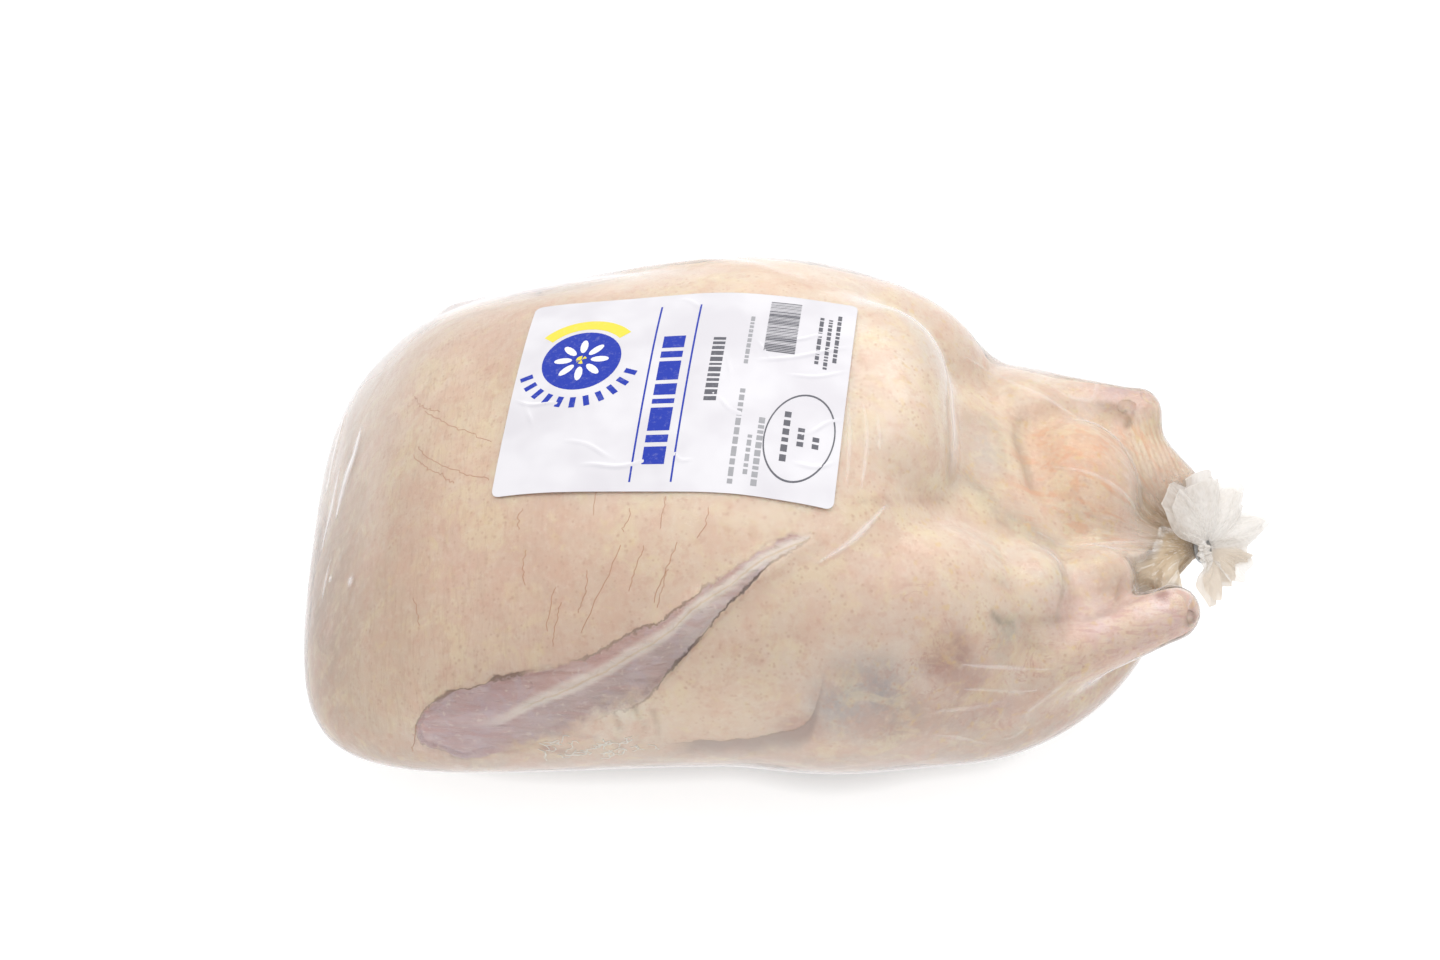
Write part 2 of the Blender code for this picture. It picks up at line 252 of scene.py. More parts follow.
# %% Rods, lumps and the fillet between them
def rod(points, start, end, start_radius, end_radius):
    """How far points lie outside a rod with round ends and two radii."""
    start, end = np.array(start), np.array(end)
    line = end - start
    share = np.clip(((points - start) @ line) / (line @ line), 0, 1)
    radius = start_radius + share * (end_radius - start_radius)
    return np.linalg.norm(points - start - share[:, None] * line, axis=1) - radius


def lump(points, centre, half, power=2.0):
    """How far points lie outside a rounded block, along the ray from its centre."""
    offset = points - np.array(centre)
    size = (np.abs(offset / np.array(half)) ** power).sum(1) ** (1 / power)
    return np.linalg.norm(offset, axis=1) * (1 - 1 / np.maximum(size, 1e-6))


def blend(first, second, width):
    """The lesser of two distances, with the inner corner filled over width."""
    near = np.maximum(width - np.abs(first - second), 0) / width
    return np.minimum(first, second) - near * near * width / 4


# %% The trunk, from its sections
def curve_between(t, first, last, first_slope, last_slope, span=1.0):
    """A smooth curve from first, where t is 0, to last, where t is 1, with slopes over span."""
    start = (2 * t**3 - 3 * t**2 + 1) * first + (t**3 - 2 * t**2 + t) * span * first_slope
    end = (3 * t**2 - 2 * t**3) * last + (t**3 - t**2) * span * last_slope
    return start + end


def smooth(x, column):
    """A smooth curve through one column of the trunk's sections."""
    places = np.array([section[0] for section in TRUNK_SECTIONS])
    values = np.array([section[column] for section in TRUNK_SECTIONS])
    slopes = np.gradient(values, places)
    at = np.clip(np.searchsorted(places, x) - 1, 0, len(places) - 2)
    span = places[at + 1] - places[at]
    t = np.clip((x - places[at]) / span, 0, 1)
    return curve_between(t, values[at], values[at + 1], slopes[at], slopes[at + 1], span)


def trunk(points):
    x = points[:, 0]
    middle = sum(TRUNK_ENDS) / 2
    reach = np.abs(x - middle) / (TRUNK_ENDS[1] - middle)
    top, bottom = smooth(x, 2), smooth(x, 3)
    rise = points[:, 2] - (top + bottom) / 2
    sideways = points[:, 1] - smooth(x, 4)
    level = np.abs(sideways / smooth(x, 1)) ** TRUNK_SQUARENESS
    upright = np.abs(rise / ((top - bottom) / 2)) ** TRUNK_SQUARENESS
    ring = (level + upright) ** (TRUNK_BLUNTNESS / TRUNK_SQUARENESS)
    size = np.maximum(reach**TRUNK_BLUNTNESS + ring, 1e-9) ** (1 / TRUNK_BLUNTNESS)
    lengthways = np.maximum(reach - 0.75, 0) * (TRUNK_ENDS[1] - middle)
    return np.sqrt(lengthways**2 + sideways**2 + rise**2) * (1 - 1 / size)


# %% The bird, and the bag round it
SKIN_FILLET = 0.35
FILM_INSET = 0.00012
SKIN_INSET = 0.00065
VENT_HOLLOW = ((0.081, 0.006, 0.12), (0.021, 0.036, 0.022))
# Fat and tail that the film presses flat
PRESSED = (
    ((0.106, 0.01, 0.07), (0.042, 0.05, 0.04)),
    ((0.09, -0.051, 0.079), (0.021, 0.025, 0.031)),
    ((0.114, -0.044, 0.073), (0.018, 0.023, 0.027)),
)
PRESSED_FILLET = 0.002
PRESSED_TAIL = ((0.138, 0.037, 0.074), (0.153, 0.01, 0.069))
PRESSED_TAIL_RADIUS = 0.015
# Hollows in the ends of the shanks, and the knobs of bone in them
BONE_HOLES = (
    ((0.1365, -0.05, 0.091), 0.003), ((0.1395, -0.056, 0.0925), 0.0022),
    ((0.1335, 0.0375, 0.0915), 0.0042), ((0.144, 0.0445, 0.0895), 0.0034),
    ((0.149, -0.061, 0.0855), 0.0022), ((0.1515, -0.052, 0.0845), 0.0016),
)
KNOBS = (((0.134, 0.0372, 0.088), 0.0021),)
# Places where the film stands off the skin: centre, half size and gap
SLACK = (
    ((-0.1, 0.09, 0.1), (0.065, 0.036, 0.04), 0.0034),
    ((-0.186, 0.035, 0.068), (0.02, 0.06, 0.034), 0.0028),
    ((-0.158, 0.075, 0.085), (0.04, 0.045, 0.034), 0.0026),
    ((0.1, 0.052, 0.094), (0.03, 0.016, 0.016), 0.003),
)


def wing(points, side):
    found = np.full(len(points), 1.0)
    turned = points * np.array((1, -side, 1))
    for (start, start_radius), (end, end_radius) in zip(WING_PATH, WING_PATH[1:]):
        found = np.minimum(found, rod(turned, start, end, start_radius, end_radius))
    return found


def bird(points, fillet=1.0):
    """The bird's form. A fillet below 1 makes every crease sharper."""
    breast = lump(points, BREAST_CENTRE, BREAST_HALF, BREAST_SQUARENESS)
    body = blend(trunk(points), breast, BREAST_FILLET * fillet)
    for centre, knee, ankle in zip(THIGH_CENTRES, KNEES, ANKLES):
        thigh = lump(points, centre, THIGH_HALF)
        shank = rod(points, knee, ankle, KNEE_RADIUS, ANKLE_RADIUS)
        body = blend(body, blend(thigh, shank, SHANK_FILLET * fillet), LEG_FILLET * fillet)
    for centre, half in LOBES:
        body = blend(body, lump(points, centre, half), LOBE_FILLET * fillet)
    body = blend(body, rod(points, *TAIL, TAIL_RADIUS, TAIL_RADIUS), TAIL_FILLET * fillet)
    for side in (-1, 1):
        body = blend(body, wing(points, side), WING_FILLET * fillet)
    return body


def film_field(points):
    """The bird with the film that spans from ankles, fat and rump to its gathered neck."""
    film = rod(points, gather + np.array(FUNNEL), gather, FUNNEL_RADIUS, NECK_RADIUS)
    web_end = gather + WEB_END_SHARE * np.array(FUNNEL)
    for start, radius in WEBS:
        film = blend(film, rod(points, start, web_end, radius, WEB_END_RADIUS), WEB_FILLET)
    bagged = np.maximum(blend(bird(points), film, FILM_FILLET), -points[:, 2])
    return bagged + FILM_INSET


def ramp(value, start, end):
    """From 0 at start to 1 at end, eased at both."""
    t = np.clip((value - start) / (end - start), 0, 1)
    return t * t * (3 - 2 * t)


def zone(points, centre, half):
    """A soft spot: 1 at its centre, fading out at its half size."""
    offset = (points - np.array(centre)) / np.array(half)
    return 1 - ramp(np.sqrt((offset**2).sum(1)), 0.25, 1.0)


def skin_field(points):
    """The bird alone, inside the film, with the vent's hollow and the ends of the shanks."""
    body = bird(points, SKIN_FILLET)
    for centre, half in PRESSED:
        body = blend(body, lump(points, centre, half), PRESSED_FILLET)
    tail = rod(points, *PRESSED_TAIL, PRESSED_TAIL_RADIUS, PRESSED_TAIL_RADIUS)
    body = blend(body, tail, PRESSED_FILLET)
    body = np.maximum(body, film_field(points) - FILM_INSET)
    body = np.maximum(body, -lump(points, *VENT_HOLLOW))
    for centre, radius in BONE_HOLES:
        body = np.maximum(body, -lump(points, centre, (radius,) * 3))
    for centre, radius in KNOBS:
        body = np.minimum(body, lump(points, centre, (radius,) * 3))
    for centre, half, gap in SLACK:
        body = body + gap * zone(points, centre, half)
    return np.maximum(body, -points[:, 2]) + SKIN_INSET


# %% [markdown]
# ## From a field to a mesh
#
# A net of four-sided faces is drawn where the field changes sign, by Blender's own OpenVDB.
# Working the field out at millions of grid points is slow, so a coarse grid first finds the
# blocks that the surface passes through. Then each vertex slides along the field's slope until
# it lies exactly on the surface, which removes the grid's steps.

# %% A net over the zero of a field
FIELD_LOW = np.array((-0.2, -0.125, -0.01))
FIELD_HIGH = np.array((0.18, 0.125, 0.16))
BLOCK = 5
# How far apart a field is read to find its slope
PROBE = 1e-4


def grid_points(low, cell, shape):
    axes = [a + cell * np.arange(n) for a, n in zip(low, shape)]
    return np.stack(np.meshgrid(*axes, indexing="ij"), axis=-1)


def surface_net(distance, cell):
    """Vertices and four-sided faces of the surface where distance is zero, facing outwards."""
    blocks = np.ceil((FIELD_HIGH - FIELD_LOW) / (cell * BLOCK)).astype(int)
    corners = grid_points(FIELD_LOW, cell * BLOCK, blocks + 1)
    coarse = distance(corners.reshape(-1, 3)).reshape(corners.shape[:3])
    close = np.abs(coarse) < 2.5 * cell * BLOCK
    for axis in range(3):
        close = np.take(close, range(blocks[axis]), axis) | np.take(close, range(1, blocks[axis] + 1), axis)
    for axis in range(3):
        coarse = np.take(coarse, range(blocks[axis]), axis)
        close, coarse = close.repeat(BLOCK, axis), coarse.repeat(BLOCK, axis)
    points = grid_points(FIELD_LOW, cell, blocks * BLOCK)
    coarse[close] = distance(points[close])
    values = np.clip(coarse, -4 * cell, 4 * cell)
    grid = openvdb.FloatGrid(4 * cell)
    grid.copyFromArray(values.astype(np.float32))
    vertices, faces = grid.convertToQuads(isovalue=0.0)
    return FIELD_LOW + cell * vertices, faces


def slope_of(points, distance):
    value = distance(points)
    slope = [distance(points + PROBE * axis) - value for axis in np.eye(3)]
    return value, np.stack(slope, axis=1) / PROBE


def outwards_at(points, distance):
    """Unit directions away from the surface."""
    _, slope = slope_of(points, distance)
    return slope / np.linalg.norm(slope, axis=1)[:, None]


def settle(points, distance, rounds=2):
    """Moves points onto the surface along its slope."""
    for _ in range(rounds):
        value, slope = slope_of(points, distance)
        points = points - slope * (value / np.maximum((slope**2).sum(1), 0.05))[:, None]
    return points


# %% Meshes from arrays and back
def new_piece(name, points, faces, *materials):
    """A smooth mesh object from points in the bird's coordinates."""
    mesh = bpy.data.meshes.new(name)
    mesh.from_pydata((np.asarray(points) + SHIFT).tolist(), [], [tuple(f) for f in faces])
    mesh.update()
    mesh.shade_smooth()
    for material in materials:
        mesh.materials.append(material)
    obj = bpy.data.objects.new(name, mesh)
    scene.collection.objects.link(obj)
    return obj


def points_of(obj):
    flat = np.empty(3 * len(obj.data.vertices))
    obj.data.vertices.foreach_get("co", flat)
    return flat.reshape(-1, 3) - SHIFT


def set_points(obj, points):
    obj.data.vertices.foreach_set("co", (points + SHIFT).ravel())
    obj.data.update()


def grid_faces(index):
    """Four-sided faces between neighbours in a grid of point numbers."""
    return np.stack((index[:-1, :-1], index[:-1, 1:], index[1:, 1:], index[1:, :-1]), -1).reshape(-1, 4)


def refine(obj, chosen):
    """Cuts the faces between the chosen vertices in four."""
    work = bmesh.new()
    work.from_mesh(obj.data)
    work.verts.ensure_lookup_table()
    edges = [e for e in work.edges if chosen[e.verts[0].index] and chosen[e.verts[1].index]]
    bmesh.ops.subdivide_edges(work, edges=edges, cuts=1, use_grid_fill=True)
    work.to_mesh(obj.data)
    work.free()


def keep_values(obj, name, values):
    """Stores one number, or one colour, for each vertex."""
    kind = "FLOAT_COLOR" if values.ndim == 2 else "FLOAT"
    attribute = obj.data.attributes.new(name, kind, "POINT")
    if values.ndim == 2:
        values = np.column_stack((values, np.ones(len(values))))
        attribute.data.foreach_set("color", values.astype(np.float32).ravel())
    else:
        attribute.data.foreach_set("value", values.astype(np.float32))


def waves(points, size, seed, count=14):
    """Smooth uneven noise with bumps of about the given size, mostly from -1 to 1."""
    draw = np.random.default_rng(seed)
    turns = draw.normal(size=(count, points.shape[1])) * 2.2 / size
    phases = draw.uniform(0, 2 * np.pi, count)
    return np.sin(points @ turns.T + phases).sum(1) / np.sqrt(count)


# %% [markdown]
# ## Where things lie on the bird
#
# Marks on the skin are placed by two numbers: X along the bird, and the angle round its long
# axis from straight up. The folded wing is a strip between two such lines, its upper and its
# lower edge. The far wing mirrors the near one, a little lower and more tucked in.

# %% Lines on the skin: X in millimetres and degrees from straight up
AXIS_HEIGHT = 0.07
WING_UPPER = (
    (-137, 89), (-132, 83), (-125, 80), (-109, 76), (-96, 73), (-84, 71), (-73, 69), (-67, 67),
    (-56, 63), (-48, 61), (-37, 56), (-23, 50), (-7, 44), (0, 42), (7, 42.5),
)
WING_LOWER = (
    (-137, 89), (-134, 94), (-126, 96), (-120, 98), (-106, 95), (-91, 91), (-78, 87), (-69, 83),
    (-54, 79), (-46, 73), (-33, 64), (-23, 57), (-14, 52), (-7, 48), (2, 45), (7, 42.5),
)
WING_RIDGE = (
    (-137, 90), (-107, 85), (-94, 80), (-78, 75), (-66, 71), (-56, 67), (-45, 63), (-34, 57),
    (-23, 53), (-12, 48), (7, 43),
)
FLAP_EDGE = (
    (-53, 80), (-50, 88), (-47, 92.5), (-37, 92.5), (-33, 91.2), (-26, 91.5), (-20, 90.4),
    (-15, 90.4), (-7, 88.7), (-2, 88), (4, 86), (7, 83), (9, 78),
)


FAR_SIDE_DROP = 14.0
# The far wing is tucked in: its strip narrows to nothing between these X, by this many degrees
FAR_WING_END = (-0.09, -0.05)
FAR_WING_TAPER = 9.0


def angle_of(points):
    """Degrees from straight up round the bird's long axis; the far side's lines lie lower."""
    angles = np.degrees(np.arctan2(np.abs(points[:, 1]), points[:, 2] - AXIS_HEIGHT))
    return angles - FAR_SIDE_DROP * (points[:, 1] > 0)


def on_line(x, line):
    places, angles = zip(*line)
    return np.interp(1000 * x, places, angles)


def arc_length(degrees, points):
    """The length on the skin that an angle spans, in metres."""
    radius = np.hypot(points[:, 1], points[:, 2] - AXIS_HEIGHT)
    return np.radians(degrees) * radius


def wing_depth(points):
    """How far inside the wing's strip points lie, in metres, below zero outside."""
    x, angle = points[:, 0], angle_of(points)
    inside = np.minimum(angle - on_line(x, WING_UPPER), on_line(x, WING_LOWER) - angle)
    inside = inside - FAR_WING_TAPER * (points[:, 1] > 0) * ramp(x, *FAR_WING_END)
    beyond = np.maximum(-0.137 - x, x - 0.007)
    return np.minimum(arc_length(inside, points), -beyond)


def line_distance(points, line):
    """How far points lie from a line whose places are in millimetres, in metres."""
    line = 0.001 * np.array(line)
    nearest = np.full(len(points), 1.0)
    for start, end in zip(line, line[1:]):
        nearest = np.minimum(nearest, rod(points, start, end, 0, 0))
    return nearest


# %% [markdown]
# ## The skin
#
# The skin's mesh is finer where the wings fold, because their edges are sharp. Relief goes
# inwards only, so the film still clears it: grooves along the wing, a step under the scalloped
# flap of thigh skin, soft folds where limbs meet, and a slight unevenness all over.

# %% The skin's mesh
SKIN_CELL = 0.0026
FLAP_LEFT = ((70, -44), (73, -46), (77, -48), (83, -49.5), (88, -49.5), (92.5, -47), (97, -45))
vertices, faces = surface_net(skin_field, SKIN_CELL)
skin = new_piece("skin", settle(vertices, skin_field), faces)


def flap_depth(points):
    """How far inside the flap of thigh skin points lie, in metres, below zero outside."""
    x, angle = points[:, 0], angle_of(points)
    angles, lefts = zip(*FLAP_LEFT)
    above = arc_length(on_line(x, FLAP_EDGE) - angle, points)
    return np.minimum(above, x - 0.001 * np.interp(angle, angles, lefts))


def is_rear(points):
    return (points[:, 0] > 0.052) & (points[:, 2] > 0.064) & (np.abs(points[:, 1]) < 0.085)


# The strips beside the edges of wing and flap that are made finer, and round the shanks' ends
WING_STRIPS = (0.01, 0.0045)
FLAP_STRIP = 0.008
SHANK_END_REACH = 0.015
TAIL_END = ((0.146, 0.022, 0.084), (0.02, 0.022, 0.02))
places = points_of(skin)
flap_zone = (np.abs(flap_depth(places)) < FLAP_STRIP) & (places[:, 0] < 0.012) & (angle_of(places) > 72)
refine(skin, (np.abs(wing_depth(places)) < WING_STRIPS[0]) | flap_zone | is_rear(places))
places = settle(points_of(skin), skin_field)
set_points(skin, places)
shank_ends = np.zeros(len(places), bool)
for ankle in ANKLES:
    shank_ends |= np.linalg.norm(places - ankle, axis=1) < SHANK_END_REACH
edge_strip = np.abs(wing_depth(places) - 0.001) < WING_STRIPS[1]
refine(skin, edge_strip | shank_ends | (zone(places, *TAIL_END) > 0))
set_points(skin, settle(points_of(skin), skin_field))
print("skin:", len(skin.data.vertices), "vertices")

# %% Relief of the wing and the flap
WING_DROP = 0.0013
RIDGE_HEIGHT = 0.001
FLAP_STEP = 0.0018
# How strongly each edge is cut in and drawn: X in millimetres and share
UPPER_CUT = (
    (-140, 0.5), (-128, 0.8), (-122, 1.0), (-98, 1.0), (-93, 0.2), (-80, 0.15), (-74, 0.7),
    (-50, 0.85), (-34, 0.8), (-28, 0.15), (7, 0.15),
)
LOWER_CUT = (
    (-140, 0.7), (-130, 0.6), (-120, 0.15), (-72, 0.12), (-60, 0.35), (-48, 0.6), (-40, 1.0),
    (-36, 1.0), (-31, 0.6), (-24, 1.0), (-12, 1.0), (-7, 0.4), (7, 0.15),
)


def from_ridge(points):
    return arc_length(angle_of(points) - on_line(points[:, 0], WING_RIDGE), points)


def edge_share(points):
    """How strongly the nearer edge of the wing is cut in at points."""
    x = points[:, 0]
    upper = on_line(x, UPPER_CUT)
    return np.where(from_ridge(points) < 0, upper, on_line(x, LOWER_CUT))


def wing_relief(points):
    """How far the skin is pressed in round the wing, in metres."""
    x, depth, off = points[:, 0], wing_depth(points), from_ridge(points)
    ragged = 0.0006 * waves(points, 0.004, 11)
    share = edge_share(points)
    cut = (0.0003 + 0.0011 * share) * np.exp(-(((depth + ragged) / (0.0006 + 0.0006 * share)) ** 2))
    soft = (off > 0) * ramp(x, -0.12, -0.104) * (1 - ramp(x, -0.056, -0.046))
    cut = cut * (1 - 0.85 * soft)
    inside = ramp(depth, 0.0003, 0.0022 + 0.0045 * soft)
    tendon = RIDGE_HEIGHT * np.exp(-((off / 0.0018) ** 2)) * ramp(x, -0.118, -0.095)
    muscle = 0.0006 * np.exp(-(((off - 0.0062) / 0.0026) ** 2)) * ramp(x, -0.115, -0.09)
    fibres = 0.00022 * (1 + waves(points * (0.22, 1, 1), 0.0028, 12))
    return cut + inside * np.maximum(WING_DROP - tendon - muscle + fibres, 0)


def flap_relief(points):
    """The step down outside the flap, which fades out away from it."""
    x, angle = points[:, 0], angle_of(points)
    outside = -flap_depth(points) + 0.0004 * waves(points, 0.005, 15)
    span = ramp(x, -0.05, -0.03) * (1 - ramp(x, 0.006, 0.013)) * ramp(angle, 74, 79)
    step = ramp(outside, -0.0004, 0.0009) * (1 - ramp(outside, 0.004, 0.017))
    return FLAP_STEP * step * span * (wing_depth(points) < 0.0005)


# %% Creases elsewhere
# Folds that are both cut in and tinted, in millimetres
CLIFF_FOOT = ((59, -23, 113), (55, -28, 116), (47, -34, 122), (39, -38, 129), (31, -43, 133))
VENT_RIM = ((91, 28, 93), (89, 16, 95), (91, 6, 95), (93, -5, 94))
LOBE_CLEFT = ((102, -39, 92), (101, -50, 95), (100, -59, 95), (98, -65, 92))
LOBE_BACK = ((126, -26, 75), (124, -38, 83), (123, -49, 87), (119, -59, 89))
KNEE_FOLD = ((75, -74, 105), (87, -69, 95), (98, -65, 91))
SHANK_FOLD = ((98, -65, 91), (110, -62, 88), (119, -58, 89), (132, -50, 87))
TAIL_ROOT = ((137, 38, 84), (133, 30, 86), (133, 18, 85), (137, 8, 80), (145, 3, 75))
FAR_SHANK_FOLD = ((100, 47, 94), (112, 42, 90), (124, 40, 88), (132, 38, 87))
THIGH_FOLD = ((47, -60, 118), (62, -62, 113), (78, -60, 107))
# A line, half width and depth, in millimetres
SKIN_CREASES = (
    ((*CLIFF_FOOT, (22, -45, 137)), 0.9, 0.9),
    (((60, 44, 111), (60, 30, 110), (62, 13, 117), (61, -1, 116), (61, -14, 115)), 2.6, 0.3),
    (((140, -47, 90), (145, -52, 89), (148, -58, 87), (149, -66, 82)), 1.1, 1.0),
    (((128, -52, 89), (134, -54, 91), (139, -50, 90)), 0.9, 0.7),
    (((79, -26, 101), (91, -31, 95), (103, -36, 89)), 1.2, 0.9),
    (VENT_RIM, 1.6, 1.3),
    (LOBE_CLEFT, 1.0, 1.3),
    (LOBE_BACK, 1.2, 1.3),
    (KNEE_FOLD, 2.2, 0.5),
    (SHANK_FOLD, 1.0, 1.3),
    (TAIL_ROOT, 1.1, 1.6),
    (FAR_SHANK_FOLD, 1.2, 1.1),
    (THIGH_FOLD, 2.0, 0.5),
)


def crease_relief(points):
    found = np.zeros(len(points))
    for line, half, depth in SKIN_CREASES:
        off = line_distance(points, line) + 0.0003 * waves(points, 0.006, 16)
        found = np.maximum(found, 0.001 * depth * np.exp(-((1000 * off / half) ** 2)))
    return found


# %% Ripples on tail and fat, and an unevenness all over
TAIL_STRIPE = 0.0024
FAT_STRIPE = 0.0022


def ripple_relief(points):
    x, y = points[:, 0], points[:, 1]
    tail = zone(points, (0.146, 0.022, 0.084), (0.018, 0.02, 0.02))
    stripes = 0.5 + 0.5 * np.sin(2 * np.pi * (x + 0.26 * y) / TAIL_STRIPE + waves(points, 0.008, 17))
    found = 0.00042 * tail * stripes
    fat = zone(points, (0.099, 0.024, 0.096), (0.014, 0.02, 0.014))
    stripes = 0.5 + 0.5 * np.sin(2 * np.pi * (x - 0.12 * y) / FAT_STRIPE + waves(points, 0.01, 18))
    found += 0.00034 * fat * stripes
    offset = points - gather
    direction = offset / np.linalg.norm(offset, axis=1)[:, None]
    fan = zone(points, (0.112, 0.0, 0.094), (0.034, 0.036, 0.03))
    found += 0.00045 * fan * ramp(waves(direction, 0.11, 19), -0.8, 0.8)
    return found


def skin_relief(points):
    """How far the skin is pressed in, in metres."""
    uneven = 0.0003 * (1 + waves(points, 0.026, 13)) + 0.00009 * (1 + waves(points, 0.007, 14))
    found = uneven + wing_relief(points) + flap_relief(points) + crease_relief(points)
    return (found + ripple_relief(points)) * ramp(points[:, 2], 0.0, 0.01)


places = points_of(skin)
relief = skin_relief(places)
set_points(skin, places - outwards_at(places, skin_field) * relief[:, None])
print("deepest relief in mm:", round(1000 * relief.max(), 1))

# %% [markdown]
# ### The skin's colour
#
# Duck skin is cream where fat lies under it, pink where it is thin, and grey-violet where
# muscle or a bruise shows through. Those wide zones are one colour at each vertex, and so is
# painted shade on the low flanks, in hollows and in creases, with a few painted highlights on
# the shanks. The edges and speckles, finer than the mesh, are drawn by the material on top.

# %% Tones of skin, fat and bruises, and of painted shade
CREAM = (0.85, 0.715, 0.57)
WARM = (0.76, 0.6, 0.465)
PINK = (0.78, 0.59, 0.48)
YELLOWISH = (0.8, 0.69, 0.5)
THIGH_TONE = (0.8, 0.68, 0.585)
# Painted shade for the low flanks, which darkens them towards the table
LOW_SIDE_SHADE = (0.5, 0.4, 0.335)
ORANGE_FAT = (0.79, 0.56, 0.39)
LOBE_TONE = (0.79, 0.7, 0.605)
SHANK_TONE = (0.8, 0.64, 0.56)
BLUE_BRUISE = (0.47, 0.44, 0.44)
GREEN_SHADE = (0.5, 0.46, 0.37)
RED_BRUISE = (0.43, 0.225, 0.2)
SHADE = (0.56, 0.49, 0.39)
# Painted shade for the gap at the near knee's fold
GAP_SHADE = (0.2, 0.18, 0.14)
BONE_RED = (0.42, 0.24, 0.22)
KNOB_WHITE = (0.9, 0.78, 0.74)
FASCIA = (0.86, 0.8, 0.69)
WING_VIOLET = (0.58, 0.425, 0.425)
WING_ROSE = (0.6, 0.38, 0.335)
WING_GREY = (0.54, 0.415, 0.39)
WING_BLUE = (0.74, 0.65, 0.62)

# Wide spots: centre, half size, colour and strength
WIDE_SPOTS = (
    ((-0.11, 0.0, 0.11), (0.1, 0.14, 0.09), WARM, 0.9),
    ((-0.128, 0.04, 0.12), (0.05, 0.04, 0.04), PINK, 0.5),
    ((-0.126, 0.004, 0.124), (0.05, 0.026, 0.034), YELLOWISH, 0.6),
    ((-0.11, -0.045, 0.118), (0.06, 0.04, 0.04), PINK, 0.5),
    ((-0.07, -0.08, 0.11), (0.08, 0.06, 0.05), PINK, 0.4),
    ((0.035, -0.08, 0.085), (0.08, 0.06, 0.07), THIGH_TONE, 0.9),
    ((0.035, 0.08, 0.085), (0.08, 0.06, 0.07), THIGH_TONE, 0.9),
    ((0.025, -0.07, 0.128), (0.035, 0.025, 0.025), PINK, 0.4),
    ((-0.11, -0.01, 0.128), (0.045, 0.04, 0.034), (0.9, 0.76, 0.6), 0.6),
    ((0.036, 0.0, 0.14), (0.03, 0.06, 0.03), (0.9, 0.805, 0.71), 0.6),
    # Partly the warmer skin at the neck end, partly painted shade on its low side
    ((-0.18, -0.035, 0.068), (0.034, 0.09, 0.05), (0.56, 0.395, 0.27), 0.95),
)
# Small spots, uneven at their edges, painted over the wide ones and the painted shade low down
SMALL_SPOTS = (
    ((0.112, 0.01, 0.095), (0.034, 0.038, 0.03), ORANGE_FAT, 0.9),
    ((0.092, -0.05, 0.097), (0.03, 0.026, 0.024), LOBE_TONE, 0.9),
    ((0.112, -0.043, 0.092), (0.018, 0.022, 0.022), LOBE_TONE, 0.5),
    ((0.125, -0.062, 0.085), (0.05, 0.026, 0.026), (0.79, 0.6, 0.575), 1.0),
    ((0.13, 0.045, 0.085), (0.045, 0.02, 0.022), SHANK_TONE, 0.9),
    ((0.025, -0.104, 0.092), (0.026, 0.03, 0.026), BLUE_BRUISE, 0.85),
    ((0.056, -0.09, 0.103), (0.015, 0.016, 0.013), RED_BRUISE, 1.0),
    ((0.062, -0.092, 0.088), (0.014, 0.02, 0.012), RED_BRUISE, 0.6),
    ((0.082, -0.078, 0.096), (0.018, 0.012, 0.014), GREEN_SHADE, 0.75),
    ((-0.062, -0.102, 0.08), (0.026, 0.03, 0.018), FASCIA, 1.0),
    ((-0.085, -0.104, 0.075), (0.012, 0.03, 0.006), BLUE_BRUISE, 0.6),
    ((-0.103, -0.105, 0.07), (0.016, 0.03, 0.01), RED_BRUISE, 0.45),
    ((0.004, -0.106, 0.077), (0.014, 0.02, 0.012), RED_BRUISE, 0.4),
    ((0.14, -0.055, 0.091), (0.01, 0.009, 0.009), KNOB_WHITE, 0.8),
    ((0.1375, -0.052, 0.089), (0.0046, 0.006, 0.0046), BONE_RED, 0.9),
    ((0.1335, 0.0375, 0.09), (0.006, 0.006, 0.006), BONE_RED, 1.0),
    ((0.144, 0.0445, 0.088), (0.005, 0.005, 0.005), (0.3, 0.22, 0.2), 1.0),
    ((0.139, 0.0405, 0.0895), (0.003, 0.005, 0.004), KNOB_WHITE, 0.9),
    ((0.126, 0.044, 0.089), (0.008, 0.006, 0.006), (0.8, 0.6, 0.57), 0.7),
    ((0.149, -0.061, 0.0845), (0.005, 0.005, 0.005), (0.33, 0.24, 0.2), 0.9),
    ((0.144, -0.056, 0.088), (0.0045, 0.006, 0.004), (0.8, 0.66, 0.5), 0.8),
    ((0.066, -0.09, 0.094), (0.026, 0.01, 0.01), RED_BRUISE, 0.3),
    ((0.076, 0.01, 0.105), (0.014, 0.028, 0.02), SHADE, 0.8),
    ((-0.073, -0.06, 0.118), (0.04, 0.034, 0.024), (0.64, 0.455, 0.345), 0.4),
    ((-0.15, -0.062, 0.095), (0.034, 0.044, 0.034), (0.62, 0.46, 0.35), 0.32),
    ((0.135, 0.046, 0.09), (0.018, 0.014, 0.014), (0.57, 0.405, 0.385), 0.85),
    ((0.045, -0.1, 0.078), (0.028, 0.03, 0.02), (0.5, 0.39, 0.345), 0.75),
    ((0.084, -0.088, 0.072), (0.04, 0.03, 0.018), (0.62, 0.5, 0.45), 0.45),
    ((0.119, -0.046, 0.092), (0.014, 0.018, 0.016), (0.64, 0.52, 0.38), 0.6),
    ((0.042, 0.04, 0.126), (0.03, 0.04, 0.026), (0.74, 0.7, 0.64), 0.65),
    ((-0.138, 0.03, 0.112), (0.036, 0.05, 0.03), (0.92, 0.77, 0.62), 0.6),
    ((0.07, -0.088, 0.07), (0.034, 0.02, 0.012), RED_BRUISE, 0.3),
    ((0.134, 0.0372, 0.088), (0.0026, 0.0026, 0.0026), (0.7, 0.52, 0.48), 1.0),
)
VALLEY_FOOT = ((62, -10, 116), (70, -11, 106), (79, -23, 101), (91, -27, 95), (103, -30, 90))
